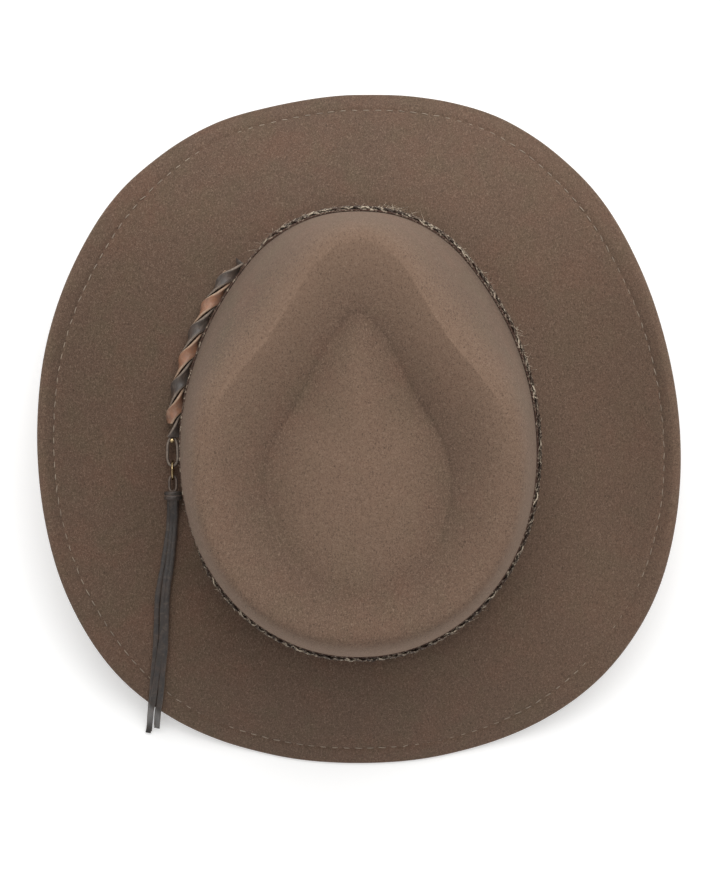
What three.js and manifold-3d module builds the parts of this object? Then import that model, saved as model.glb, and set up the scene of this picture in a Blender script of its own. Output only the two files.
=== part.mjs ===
import * as THREE from "three";
import { mergeVertices } from "three/addons/utils/BufferGeometryUtils.js";
import Module from "manifold-3d";

// A wide-brimmed wool felt hat with a pinched teardrop crown, a braided hair band, and two laces
// twisted together that end in an eye, a wire ring and a leather tassel.
// Millimetres, +Z up. The front faces -Y and the wearer's left is +X. The brim rests on z = 0.

// Felt crown
const CROWN_LENGTH = 207; // outside of the crown where it meets the brim, front to back
const CROWN_WIDTH = 166; // the same from side to side
const CROWN_HEIGHT = 103; // brim break up to the highest crest
const CROWN_LIFT = 36; // brim break above the surface that the hat rests on
const DENT_DEPTH = 25; // drop that the table takes the shares of for the valley of the dent
const DOME_HEIGHT = 97; // middle of the dent's floor above the brim break
const HUB_SHARE = 0.178; // the dent's middle lies this share of half the length behind the centre
const FELT = 2.2; // wall of one layer of felt
const BREAK_RADIUS = 5; // round between crown and brim

// Felt brim
const BRIM_WIDTH = 70; // cut width of the brim, break to edge
const SIDE_RISE = 58; // underside of the side edge above the surface
const HEM_WIDTH = 12.5; // edge folded under
const HEM_THICKNESS = 4.2; // two layers of felt, stitched together
const HEM_CUT = 0.4; // slant of the cut edge of the folded felt
const HEM_PRESS = 0.74; // share of the edge's round that is left below its middle where it rests

// Braided band
const BAND_HEIGHT = 12;
const BAND_THICKNESS = 2.4;
const BAND_PRESSED = 0.9; // thickness under the twisted laces
const BAND_FOOT = 5; // bottom of the band above the brim break
const BAND_EDGE = 0.6; // thickness of its edges, as a share of its middle's

// Twisted laces
const LACE_WIDTH = 6.4;
const LACE_THICKNESS = 1.5;
const LACE_CUP = 0.9; // how far the middle of a lace bows out
const TWIST_PITCH = 27; // length of one whole turn
const TWIST_PHASE = 10; // from the twist's start to the middle of the first dark lobe
const TWIST_SEAT = 7; // middle of the twist above the brim break
const TWIST_FROM = 35.5; // section angles where the twist starts and ends
const TWIST_TO = 82.5;
const LACE_SLACK = 0.2; // room beside the twist for the uneven band
const TAN_SHARE = 0.93; // the tan lace ends at this share of the twist, under the eye's neck

// Eye, rivet and ring
const EYE_LENGTH = 15.5;
const EYE_WIDTH = 6.2;
const EYE_THICKNESS = 1.3;
const EYE_HEIGHT = 4;
const EYE_OVERLAP = 1.5; // the twist's end runs this far into the eye's neck
const RIVET_DIAMETER = 2.4;
const RIVET_HEIGHT = 1;
const RIVET_TOP = 0.72; // width of its crown, as a share of its foot's
const RIVET_BACK = 0.3; // before the eye's middle, as a share of the eye's length
const RING_DIAMETER = 9.6; // outside
const RING_WIRE = 1.1;

// Tassel
const LOOP_LENGTH = 8.5;
const LOOP_WIDTH = 4.4;
const LOOP_THICKNESS = 1.1;
const LOOP_HEIGHT = 3;
const COLLAR_LENGTH = 4.4;
const COLLAR_SLACK = 0.3; // room beside the collar for the uneven band
const COLLAR_WIDTH = 8.4;
const COLLAR_HEIGHT = 5.2;
const COLLAR_ANGLE = 97.2; // section angle beside which the collar lies
const COLLAR_OVERLAP = 0.8; // the loop's end sits this deep in the collar
const COLLAR_MOUTH = 0.82; // size of the collar's ends, as a share of its middle's
const STRAND_WIDTH = 2.8;
const STRAND_THICKNESS = 1.3;
const STRAND_LAP = 0.8; // height of the upper strands, as a share of one thickness
const STRAND_SEAT = 0.7; // strands above the felt, over its nap
const TASSEL_DROP = 13; // how far past the brim's edge the strands reach the surface

const GAP = 0.3; // clearance between touching pieces

// Crown sections. angle is counted from the front, in degrees, round the middle of the dent.
// base and crest are how far the foot and the top of the wall lie from there, as shares of half the
// crown's size. height is the crest's share of CROWN_HEIGHT. valley is where the dent is lowest, as a
// share of the crest's distance, and depth its share of DENT_DEPTH. shoulder is the power that rounds
// the top of the wall. ridge is how sharp the crest is.
const CROWN_SECTIONS = [
  { angle: 0, base: 1.153, crest: 0.975, height: 0.965, valley: 0.68, depth: 0.3, shoulder: 2.6, ridge: 0.2 },
  { angle: 12, base: 1.154, crest: 0.93, height: 0.965, valley: 0.635, depth: 0.4, shoulder: 2.4, ridge: 0.5 },
  { angle: 26, base: 1.135, crest: 0.803, height: 0.975, valley: 0.614, depth: 0.54, shoulder: 2.1, ridge: 0.8 },
  { angle: 42, base: 1.083, crest: 0.735, height: 0.985, valley: 0.59, depth: 0.64, shoulder: 2.1, ridge: 0.85 },
  { angle: 58, base: 1.045, crest: 0.76, height: 0.99, valley: 0.56, depth: 0.68, shoulder: 2.5, ridge: 0.6 },
  { angle: 72, base: 1.02, crest: 0.805, height: 1, valley: 0.555, depth: 0.68, shoulder: 3, ridge: 0.2 },
  { angle: 90, base: 0.994, crest: 0.815, height: 1, valley: 0.59, depth: 0.66, shoulder: 3.2, ridge: 0 },
  { angle: 110, base: 0.966, crest: 0.81, height: 1, valley: 0.62, depth: 0.62, shoulder: 3.2, ridge: 0 },
  { angle: 130, base: 0.92, crest: 0.785, height: 1, valley: 0.67, depth: 0.5, shoulder: 3.2, ridge: 0 },
  { angle: 155, base: 0.867, crest: 0.73, height: 0.985, valley: 0.74, depth: 0.36, shoulder: 3.2, ridge: 0 },
  { angle: 180, base: 0.845, crest: 0.7, height: 0.975, valley: 0.78, depth: 0.3, shoulder: 3.2, ridge: 0 },
];
const WALL_BELLY = 1.5; // how soon the wall stands upright above the brim break
const DOME_POWER = 2.4; // how late the dome falls to the valley
const DOME_FLATNESS = 0.55; // share of that fall against an even one
const TROUGH_POWER = 1.8; // how soon the valley's outer side rises
const TROUGH_SHARPNESS = 0.6; // share of that rise against an even one
const RIDGE_SLOPE = 0.7; // how straight the rise to a sharp ridge is
const RIDGE_FALL = 0.22; // how far a sharp crest falls straight outwards, as a share of the wall

// Brim sections. run is the brim's width as seen from above, as a share of BRIM_WIDTH. lean makes the
// wearer's left wider by that share and the right narrower. rise is the share of SIDE_RISE that the
// edge stands above the surface. curl bends the brim more towards its edge.
const BRIM_SECTIONS = [
  { angle: 0, run: 0.84, lean: 0, rise: 0, curl: 1.3 },
  { angle: 10, run: 0.85, lean: -0.012, rise: 0, curl: 1.3 },
  { angle: 18, run: 0.885, lean: -0.018, rise: 0, curl: 1.3 },
  { angle: 28, run: 0.95, lean: -0.014, rise: 0.08, curl: 1.35 },
  { angle: 38, run: 1.0, lean: -0.005, rise: 0.3, curl: 1.5 },
  { angle: 48, run: 1.025, lean: 0.006, rise: 0.54, curl: 1.8 },
  { angle: 60, run: 1.0, lean: 0.014, rise: 0.79, curl: 2.1 },
  { angle: 72, run: 0.97, lean: 0.014, rise: 0.95, curl: 2.2 },
  { angle: 84, run: 0.948, lean: 0, rise: 1.0, curl: 2.2 },
  { angle: 97, run: 0.944, lean: -0.013, rise: 0.97, curl: 2.2 },
  { angle: 110, run: 0.955, lean: -0.018, rise: 0.79, curl: 2.1 },
  { angle: 124, run: 0.95, lean: -0.009, rise: 0.48, curl: 1.8 },
  { angle: 135, run: 0.912, lean: -0.003, rise: 0.25, curl: 1.5 },
  { angle: 147, run: 0.86, lean: 0, rise: 0.07, curl: 1.35 },
  { angle: 158, run: 0.815, lean: 0, rise: 0, curl: 1.3 },
  { angle: 170, run: 0.785, lean: 0, rise: 0, curl: 1.3 },
  { angle: 180, run: 0.776, lean: 0, rise: 0, curl: 1.3 },
];

// The tassel's way over the brim: section angle, and share of the brim's run from the break.
const TASSEL_ROUTE = [
  { angle: 104, run: 0.14 },
  { angle: 111, run: 0.24 },
  { angle: 118, run: 0.4 },
  { angle: 124.8, run: 0.58 },
  { angle: 130, run: 0.8 },
  { angle: 133, run: 0.97 },
  { angle: 134.5, run: 1.08 },
  { angle: 136, run: 1.2 },
];

// Strands of the tassel: shift across the route at the collar, halfway and at the tip, in strand
// widths, and length as a share of the route.
const STRANDS = [
  { collar: -0.75, middle: -0.62, tip: -0.75, layer: 0, length: 0.97 },
  { collar: 0.75, middle: 0.58, tip: 0.5, layer: 0, length: 1.0 },
  { collar: -0.2, middle: 0.1, tip: -0.35, layer: 1, length: 1.0 },
  { collar: 0.35, middle: -0.25, tip: 0.85, layer: 1, length: 0.985 },
];

const ROUND = 64; // sections round the hat
const HALF_LENGTH = CROWN_LENGTH / 2;
const HALF_WIDTH = CROWN_WIDTH / 2;
const HUB_Y = HUB_SHARE * HALF_LENGTH;
const UP = new THREE.Vector3(0, 0, 1);
const radians = THREE.MathUtils.degToRad;

// A column of a table at any angle: a smooth curve through its rows, level at the first and the last.
function column(rows, name, angle) {
  const last = rows.length - 1;
  let i = 0;
  while (i < last - 1 && angle > rows[i + 1].angle) i += 1;
  const slope = (k) => {
    if (k === 0 || k === last) return 0;
    return (rows[k + 1][name] - rows[k - 1][name]) / (rows[k + 1].angle - rows[k - 1].angle);
  };
  const span = rows[i + 1].angle - rows[i].angle;
  const t = THREE.MathUtils.clamp((angle - rows[i].angle) / span, 0, 1);
  const start = (1 + 2 * t) * (1 - t) ** 2 * rows[i][name] + t * (1 - t) ** 2 * span * slope(i);
  const end = t * t * (3 - 2 * t) * rows[i + 1][name] + t * t * (t - 1) * span * slope(i + 1);
  return start + end;
}

// One upright section through the hat. Turn runs from -180 to 180 degrees, and is positive on the
// wearer's left. Distances in it are counted from the hub line along the section.
function sectionAt(turn) {
  const angle = Math.abs(turn);
  const side = Math.sign(turn);
  const crown = (name) => column(CROWN_SECTIONS, name, angle);
  const brim = (name) => column(BRIM_SECTIONS, name, angle);
  const across = Math.sin(radians(turn)) * HALF_WIDTH;
  const along = -Math.cos(radians(turn)) * HALF_LENGTH;
  const reach = Math.hypot(across, along);
  const base = crown("base") * reach;
  const crest = crown("crest") * reach;
  const crestZ = CROWN_LIFT + crown("height") * CROWN_HEIGHT;
  return {
    out: new THREE.Vector3(across / reach, along / reach, 0),
    base,
    crest,
    crestZ,
    valley: crown("valley") * crest,
    valleyZ: crestZ - crown("depth") * DENT_DEPTH,
    shoulder: crown("shoulder"),
    ridge: crown("ridge"),
    edge: base + (brim("run") + side * brim("lean")) * BRIM_WIDTH,
    edgeZ: Math.max(0, brim("rise") * SIDE_RISE),
    curl: brim("curl"),
  };
}

function place(section, distance, z) {
  return new THREE.Vector3(0, HUB_Y, z).addScaledVector(section.out, distance);
}

const ease = (t) => t * t * (3 - 2 * t);

// Share of the fall from the dome to the valley: slow at first, steepest just before the valley.
const domeFall = (t) => THREE.MathUtils.lerp(ease(t), t ** DOME_POWER, DOME_FLATNESS);

// Share of the rise from the valley to the crest: quick at first, then level.
const troughRise = (t) => THREE.MathUtils.lerp(ease(t), 1 - (1 - t) ** TROUGH_POWER, TROUGH_SHARPNESS);

// Share of the wall's height at a share of the way out from the crest to the foot: a straight fall from
// a sharp ridge, and a power that rounds the shoulder.
function wallHeight(section, out) {
  const fall = RIDGE_FALL * section.ridge;
  const left = 1 - fall * out - (1 - fall) * out ** section.shoulder;
  return Math.max(0, left) ** (1 / WALL_BELLY);
}

// Crown from near the middle of the dent over the crest to the foot of the wall, as distance and
// height. An inset of one felt thickness gives its inner face.
function crownProfile(section, inset) {
  const points = [];
  const domeZ = CROWN_LIFT + DOME_HEIGHT - inset;
  const valleyZ = section.valleyZ - 1.15 * inset;
  const crest = section.crest - 1.2 * inset;
  const crestZ = section.crestZ - 1.3 * inset;
  const base = section.base - inset;
  const footZ = CROWN_LIFT + BREAK_RADIUS;
  for (const t of [0.33, 0.67, 1]) {
    points.push([section.valley * t, THREE.MathUtils.lerp(domeZ, valleyZ, domeFall(t))]);
  }
  for (const t of [0.25, 0.5, 0.75, 1]) {
    const rise = THREE.MathUtils.lerp(troughRise(t), t, RIDGE_SLOPE * section.ridge);
    points.push([
      THREE.MathUtils.lerp(section.valley, crest, t),
      THREE.MathUtils.lerp(valleyZ, crestZ, rise),
    ]);
  }
  for (const degrees of [15, 30, 45, 60, 75, 90]) {
    const out = Math.sin(radians(degrees)) ** (2 / section.shoulder);
    points.push([
      THREE.MathUtils.lerp(crest, base, out),
      THREE.MathUtils.lerp(footZ, crestZ, wallHeight(section, out)),
    ]);
  }
  return points;
}

// Round between the wall and the brim, seen from above (inset 0) or from below (one felt thickness).
function breakProfile(section, inset) {
  return [30, 60].map((degrees) => {
    const radius = BREAK_RADIUS + inset;
    return [
      section.base + BREAK_RADIUS - radius * Math.cos(radians(degrees)),
      CROWN_LIFT + BREAK_RADIUS - radius * Math.sin(radians(degrees)),
    ];
  });
}

// The brim's upper face and its rounded edge, as the felt lies when its lowest points rest on the
// surface or stand above it.
function brimShape(section) {
  const nose = HEM_THICKNESS / 2;
  const start = section.base + BREAK_RADIUS;
  const middle = [section.edge - nose, section.edgeZ + HEM_PRESS * nose];
  let tilt = 0;
  let end = middle;
  for (let pass = 0; pass < 4; pass += 1) {
    end = [middle[0] - nose * Math.sin(tilt), middle[1] + nose * Math.cos(tilt)];
    tilt = Math.atan((section.curl * (end[1] - CROWN_LIFT)) / (end[0] - start));
  }
  const share = (distance) => THREE.MathUtils.clamp((distance - start) / (end[0] - start), 0, 1);
  const top = (distance) => CROWN_LIFT + (end[1] - CROWN_LIFT) * share(distance) ** section.curl;
  const steep = (distance) => {
    const bend = section.curl * (end[1] - CROWN_LIFT) * share(distance) ** (section.curl - 1);
    return Math.hypot(1, bend / (end[0] - start));
  };
  return { start, end, middle, nose, tilt, top, steep };
}

// Whole profile of a section: upper face from the dent to the edge, then the lower face back.
function feltProfile(turn) {
  const section = sectionAt(turn);
  const brim = brimShape(section);
  const hemStart = section.edge - HEM_WIDTH / brim.steep(section.edge);
  const shares = [0, 0.15, 0.32, 0.5, 0.68];
  const runs = shares.map((s) => THREE.MathUtils.lerp(brim.start, hemStart, s));
  const upper = [...runs, hemStart, (hemStart + brim.end[0]) / 2].map((d) => [d, brim.top(d)]);
  const round = [90, 45, 0, -45, -90].map((degrees) => {
    const direction = brim.tilt + radians(degrees);
    const z = brim.middle[1] + brim.nose * Math.sin(direction);
    return [brim.middle[0] + brim.nose * Math.cos(direction), Math.max(0, z)];
  });
  const under = (d, thickness) => [d, brim.top(d) - thickness * brim.steep(d)];
  const hem = [under(hemStart, HEM_THICKNESS), under(hemStart - HEM_CUT, FELT)];
  const lower = runs.map((d) => under(d, FELT)).reverse();
  return {
    section,
    outer: [...crownProfile(section, 0), ...breakProfile(section, 0), ...upper, ...round],
    inner: [
      ...hem,
      ...lower,
      ...breakProfile(section, FELT).reverse(),
      ...crownProfile(section, FELT).reverse(),
    ],
  };
}

// A closed mesh from rings of equal length. Loops join the last ring to the first, and otherwise each
// end closes on its own middle, or on the point given for it.
function skin(rings, { loop = false, first, last } = {}) {
  const count = rings[0].length;
  const positions = rings.flat().flatMap((p) => [p.x, p.y, p.z]);
  const faces = [];
  const joints = loop ? rings.length : rings.length - 1;
  for (let i = 0; i < joints; i += 1) {
    const here = i * count;
    const next = ((i + 1) % rings.length) * count;
    for (let j = 0; j < count; j += 1) {
      const k = (j + 1) % count;
      faces.push(here + j, here + k, next + k, here + j, next + k, next + j);
    }
  }
  const cap = (ring, start, point, flip) => {
    const sum = ring.reduce((total, p) => total.add(p), new THREE.Vector3());
    const middle = point ?? sum.divideScalar(count);
    const index = positions.length / 3;
    positions.push(middle.x, middle.y, middle.z);
    for (let j = 0; j < count; j += 1) {
      const k = (j + 1) % count;
      faces.push(index, start + (flip ? k : j), start + (flip ? j : k));
    }
  };
  if (!loop) {
    cap(rings[0], 0, first, true);
    cap(rings[rings.length - 1], (rings.length - 1) * count, last, false);
  }
  const geometry = new THREE.BufferGeometry();
  geometry.setAttribute("position", new THREE.Float32BufferAttribute(positions, 3));
  geometry.setIndex(faces);
  return facingOut(geometry);
}

// Turns the faces round where the mesh's volume comes out negative.
function facingOut(geometry) {
  const point = (i) => new THREE.Vector3().fromBufferAttribute(geometry.attributes.position, i);
  const index = Array.from(geometry.index.array);
  let volume = 0;
  for (let i = 0; i < index.length; i += 3) {
    volume += point(index[i]).dot(point(index[i + 1]).cross(point(index[i + 2])));
  }
  if (volume < 0) {
    for (let i = 0; i < index.length; i += 3) {
      [index[i + 1], index[i + 2]] = [index[i + 2], index[i + 1]];
    }
    geometry.setIndex(index);
  }
  geometry.computeVertexNormals();
  return geometry;
}

const wasm = await Module();
wasm.setup();

// Joins closed meshes into one solid.
function fused(geometries) {
  const solids = geometries.map((geometry) => {
    const bare = geometry.clone();
    bare.deleteAttribute("normal");
    bare.deleteAttribute("uv");
    const merged = mergeVertices(bare, 1e-4);
    return new wasm.Manifold(
      new wasm.Mesh({
        numProp: 3,
        vertProperties: new Float32Array(merged.attributes.position.array),
        triVerts: new Uint32Array(merged.index.array),
      }),
    );
  });
  const mesh = solids.reduce((sum, solid) => sum.add(solid)).getMesh();
  const geometry = new THREE.BufferGeometry();
  geometry.setAttribute("position", new THREE.BufferAttribute(mesh.vertProperties, 3));
  geometry.setIndex(new THREE.BufferAttribute(mesh.triVerts, 1));
  geometry.computeVertexNormals();
  return geometry;
}

function named(name, geometry, colour, roughness, metalness = 0) {
  const material = new THREE.MeshStandardMaterial({ color: colour, roughness, metalness });
  const mesh = new THREE.Mesh(geometry, material);
  mesh.name = name;
  return mesh;
}

const TURNS = Array.from({ length: ROUND }, (_, i) => (360 * i) / ROUND - 180);

// Crown and brim: one piece of felt, hollow, its edge folded under.
function feltBody() {
  const profiles = TURNS.map((turn) => {
    const { section, outer, inner } = feltProfile(turn);
    return [...outer, ...inner].map(([distance, z]) => place(section, distance, z));
  });
  const rings = profiles[0].map((_, i) => profiles.map((profile) => profile[i]));
  const domeZ = CROWN_LIFT + DOME_HEIGHT;
  return skin(rings, {
    first: new THREE.Vector3(0, HUB_Y, domeZ),
    last: new THREE.Vector3(0, HUB_Y, domeZ - FELT),
  });
}

// Distance of the crown's outer wall from the hub line at a height above the brim break.
function wallAt(section, height) {
  const share = (height - BREAK_RADIUS) / (section.crestZ - CROWN_LIFT - BREAK_RADIUS);
  if (share <= 0) {
    const drop = BREAK_RADIUS - height;
    return section.base + BREAK_RADIUS - Math.sqrt(BREAK_RADIUS ** 2 - drop ** 2);
  }
  const wanted = 1 - share ** WALL_BELLY;
  const fall = RIDGE_FALL * section.ridge;
  const power = section.shoulder;
  let out = 1;
  for (let pass = 0; pass < 4; pass += 1) {
    const slope = fall + (1 - fall) * power * out ** (power - 1);
    out -= (fall * out + (1 - fall) * out ** power - wanted) / slope;
  }
  return THREE.MathUtils.lerp(section.crest, section.base, out);
}

// How firmly laces and tassel press on the band at a turn: 1 beside them, 0 elsewhere.
function pressedAt(turn) {
  const ease = 12; // degrees in which the band thins and swells again
  const from = THREE.MathUtils.smoothstep(turn, TWIST_FROM - ease, TWIST_FROM - 4);
  const to = 1 - THREE.MathUtils.smoothstep(turn, COLLAR_ANGLE + ease, COLLAR_ANGLE + 2 * ease);
  return from * to;
}

const bandThickness = (turn) => THREE.MathUtils.lerp(BAND_THICKNESS, BAND_PRESSED, pressedAt(turn));

// Hair band: a closed ring of lens section that follows the foot of the wall.
function hatband() {
  const levels = [0, 0.3, 0.7, 1];
  const rings = TURNS.map((turn) => {
    const section = sectionAt(turn);
    const thickness = bandThickness(turn);
    const level = (share) => BAND_FOOT + share * BAND_HEIGHT;
    const inner = levels.map((share) => {
      const height = level(share);
      return place(section, wallAt(section, height) + GAP, CROWN_LIFT + height);
    });
    const outer = [...levels].reverse().map((share) => {
      const height = level(share);
      const bulge = thickness * THREE.MathUtils.lerp(BAND_EDGE, 1, Math.sin(Math.PI * share));
      return place(section, wallAt(section, height) + GAP + bulge, CROWN_LIFT + height);
    });
    return [...inner, ...outer];
  });
  return skin(rings, { loop: true });
}

// The twist's middle line, from under the band's braid to the eye.
function twistPath() {
  const steps = 44;
  const away = GAP + BAND_PRESSED + GAP + LACE_WIDTH / 2 + LACE_SLACK;
  return Array.from({ length: steps + 1 }, (_, i) => {
    const section = sectionAt(THREE.MathUtils.lerp(TWIST_FROM, TWIST_TO, i / steps));
    return place(section, section.base + away, CROWN_LIFT + TWIST_SEAT);
  });
}

// Directions along a path of points.
function tangents(path) {
  return path.map((_, i) => {
    const ahead = path[Math.min(i + 1, path.length - 1)];
    const behind = path[Math.max(i - 1, 0)];
    return ahead.clone().sub(behind).normalize();
  });
}

// One flat lace of the twist, up to a share of its length. It bows away from the other lace, and turns
// once each pitch.
function twistedLace(halfTurns, share = 1) {
  const whole = twistPath();
  const path = whole.slice(0, Math.round(whole.length * share));
  const ways = tangents(path);
  const across = [-1, -0.55, 0, 0.55, 1];
  let travelled = 0;
  const rings = path.map((centre, i) => {
    if (i > 0) travelled += centre.distanceTo(path[i - 1]);
    const roll = (2 * Math.PI * (travelled - TWIST_PHASE)) / TWIST_PITCH + Math.PI * halfTurns;
    const way = ways[i];
    const flat = new THREE.Vector3().crossVectors(way, UP).normalize();
    const upright = new THREE.Vector3().crossVectors(flat, way);
    const face = upright.clone().multiplyScalar(Math.cos(roll));
    face.addScaledVector(flat, Math.sin(roll));
    const wide = new THREE.Vector3().crossVectors(way, face);
    const point = (share, thickness) => {
      const bow = GAP / 2 + LACE_CUP * (1 - share * share) + thickness;
      return centre
        .clone()
        .addScaledVector(wide, (share * LACE_WIDTH) / 2)
        .addScaledVector(face, bow);
    };
    const outer = across.map((share) => point(share, LACE_THICKNESS));
    const inner = [...across].reverse().map((share) => point(share, 0));
    return [...outer, ...inner];
  });
  return skin(rings);
}

// A strap standing on edge, bent into a long closed loop round a middle point.
function standingLoop(centre, way, length, width, thickness, height) {
  const sides = 16;
  const flat = new THREE.Vector3().crossVectors(way, UP).normalize();
  const straight = (length - width) / 2;
  const rings = Array.from({ length: sides }, (_, i) => {
    const angle = (2 * Math.PI * (i + 0.5)) / sides;
    const outward = way.clone().multiplyScalar(Math.cos(angle));
    outward.addScaledVector(flat, Math.sin(angle));
    const bend = centre.clone().addScaledVector(way, Math.sign(Math.cos(angle)) * straight);
    const corner = (radius, z) => {
      return bend.clone().addScaledVector(outward, radius).addScaledVector(UP, z);
    };
    const far = width / 2;
    const near = far - thickness;
    return [
      corner(near, -height / 2),
      corner(far, -height / 2),
      corner(far, height / 2),
      corner(near, height / 2),
    ];
  });
  return skin(rings, { loop: true });
}

// Where the eye, the ring and the tassel follow each other behind the twist, on one line beside the
// band, a little above the brim.
function linkLine() {
  const path = twistPath();
  const end = path[path.length - 1];
  const section = sectionAt(COLLAR_ANGLE);
  const beside = section.base + GAP + BAND_PRESSED + GAP + COLLAR_WIDTH / 2 + COLLAR_SLACK;
  const way = place(section, beside, end.z).sub(end).normalize();
  const seat = CROWN_LIFT + TWIST_SEAT - LACE_THICKNESS / 3;
  const ringRadius = (RING_DIAMETER - RING_WIRE) / 2;
  const start = end.clone().setZ(seat);
  const eye = start.clone().addScaledVector(way, EYE_LENGTH / 2 - EYE_OVERLAP);
  const hole = 0.97 * (ringRadius - RING_WIRE / 2);
  const threaded = (height) => Math.sqrt(hole ** 2 - (height / 2 + GAP) ** 2);
  const inEye = EYE_LENGTH / 2 - EYE_THICKNESS + threaded(EYE_HEIGHT);
  const ring = eye.clone().addScaledVector(way, inEye);
  const inLoop = LOOP_LENGTH / 2 - LOOP_THICKNESS + threaded(LOOP_HEIGHT);
  const loop = ring.clone().addScaledVector(way, inLoop);
  const collar = loop.clone().addScaledVector(way, LOOP_LENGTH / 2 + COLLAR_LENGTH / 2 - COLLAR_OVERLAP);
  return { way, eye, ring, ringRadius, loop, collar };
}

function darkLace() {
  const { way, eye } = linkLine();
  const loop = standingLoop(eye, way, EYE_LENGTH, EYE_WIDTH, EYE_THICKNESS, EYE_HEIGHT);
  return fused([twistedLace(0), loop]);
}

// Small round-headed rivet on top of the eye's neck.
function rivet() {
  const { way, eye } = linkLine();
  const geometry = new THREE.CylinderGeometry(
    (RIVET_DIAMETER * RIVET_TOP) / 2,
    RIVET_DIAMETER / 2,
    RIVET_HEIGHT,
    12,
  );
  geometry.applyQuaternion(new THREE.Quaternion().setFromUnitVectors(new THREE.Vector3(0, 1, 0), UP));
  const reach = EYE_HEIGHT / 2 + GAP + RIVET_HEIGHT / 2;
  const seat = eye.clone().addScaledVector(way, -EYE_LENGTH * RIVET_BACK).addScaledVector(UP, reach);
  return geometry.translate(seat.x, seat.y, seat.z);
}

function wireRing() {
  const { way, ring, ringRadius } = linkLine();
  const geometry = new THREE.TorusGeometry(ringRadius, RING_WIRE / 2, 8, 20);
  const side = new THREE.Vector3().crossVectors(way, UP);
  geometry.applyMatrix4(new THREE.Matrix4().makeBasis(way, UP, side));
  return geometry.translate(ring.x, ring.y, ring.z);
}

// Height of what lies under a point beside the crown: the brim's upper face, and past its edge a
// slope down to the surface that the hat rests on.
function underneath(point) {
  const across = point.x / HALF_WIDTH;
  const along = (HUB_Y - point.y) / HALF_LENGTH;
  const section = sectionAt(THREE.MathUtils.radToDeg(Math.atan2(across, along)));
  const brim = brimShape(section);
  const distance = Math.hypot(point.x, point.y - HUB_Y);
  const past = (distance - section.edge + brim.nose / 2) / TASSEL_DROP;
  return brim.top(distance) * (1 - ease(THREE.MathUtils.clamp(past, 0, 1)));
}

// The tassel's middle line as seen from above, from the collar to the tips.
function tasselPath(steps) {
  const { collar } = linkLine();
  const points = TASSEL_ROUTE.map(({ angle, run }) => {
    const section = sectionAt(angle);
    return place(section, THREE.MathUtils.lerp(section.base, section.edge, run), 0);
  });
  const start = collar.clone().setZ(0);
  return new THREE.CatmullRomCurve3([start, ...points], false, "centripetal").getSpacedPoints(steps);
}

// One strand: a flat strip that follows the tassel's line with a shift of its own, and lies on the
// brim with both its edges.
function strand({ collar, middle, tip, layer, length }) {
  const steps = 26;
  const leaving = 3; // steps in which it comes down from the collar to the felt
  const path = tasselPath(steps);
  const ways = tangents(path);
  const collarZ = linkLine().collar.z;
  const rings = path.slice(0, Math.round(steps * length) + 1).map((centre, i) => {
    const t = i / steps;
    const half = THREE.MathUtils.lerp(collar, middle, ease(Math.min(1, 2 * t)));
    const shift = THREE.MathUtils.lerp(half, tip, ease(Math.max(0, 2 * t - 1))) * STRAND_WIDTH;
    const flat = new THREE.Vector3().crossVectors(UP, ways[i]).normalize();
    const lift = STRAND_SEAT + layer * STRAND_THICKNESS * STRAND_LAP;
    const corner = (side, up) => {
      const point = centre.clone().addScaledVector(flat, shift + (side * STRAND_WIDTH) / 2);
      const lying = underneath(point) + lift;
      const held = collarZ + (layer - 0.9) * STRAND_THICKNESS;
      return point.setZ(THREE.MathUtils.lerp(held, lying, ease(Math.min(1, i / leaving))) + up);
    };
    const top = STRAND_THICKNESS;
    return [corner(-1, 0), corner(1, 0), corner(1, top), corner(-1, top)];
  });
  return skin(rings);
}

// Leather collar round the strands: a short bulged sleeve.
function collarBody() {
  const { way, collar } = linkLine();
  const flat = new THREE.Vector3().crossVectors(way, UP).normalize();
  const sides = 12;
  const rings = [-0.5, -0.3, 0.3, 0.5].map((share) => {
    const size = Math.abs(share) > 0.4 ? COLLAR_MOUTH : 1;
    return Array.from({ length: sides }, (_, i) => {
      const angle = (2 * Math.PI * i) / sides;
      return collar
        .clone()
        .addScaledVector(way, share * COLLAR_LENGTH)
        .addScaledVector(flat, (Math.cos(angle) * COLLAR_WIDTH * size) / 2)
        .addScaledVector(UP, (Math.sin(angle) * COLLAR_HEIGHT * size) / 2);
    });
  });
  return skin(rings);
}

function tassel() {
  const { way, loop } = linkLine();
  const head = standingLoop(loop, way, LOOP_LENGTH, LOOP_WIDTH, LOOP_THICKNESS, LOOP_HEIGHT);
  return fused([collarBody(), head, ...STRANDS.map(strand)]);
}

// The box round the brim's edge stands on the origin.
function footprintMiddle() {
  const box = new THREE.Box3();
  for (const turn of TURNS) {
    const section = sectionAt(turn);
    box.expandByPoint(place(section, section.edge, 0));
  }
  return box.getCenter(new THREE.Vector3());
}

const hat = new THREE.Group();
hat.add(named("felt_body", feltBody(), 0x6e5a4b, 0.95));
hat.add(named("hatband", hatband(), 0x4a3a32, 0.6));
hat.add(named("dark_lace", darkLace(), 0x4b4744, 0.6));
hat.add(named("tan_lace", twistedLace(1, TAN_SHARE), 0x9a6f57, 0.6));
hat.add(named("rivet", rivet(), 0xb59a5c, 0.3, 1));
hat.add(named("ring", wireRing(), 0xb59a5c, 0.3, 1));
hat.add(named("tassel", tassel(), 0x433f3c, 0.65));
const middle = footprintMiddle();
hat.position.set(-middle.x, -middle.y, 0);

const part = new THREE.Group();
part.add(hat);
export default part;
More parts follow.
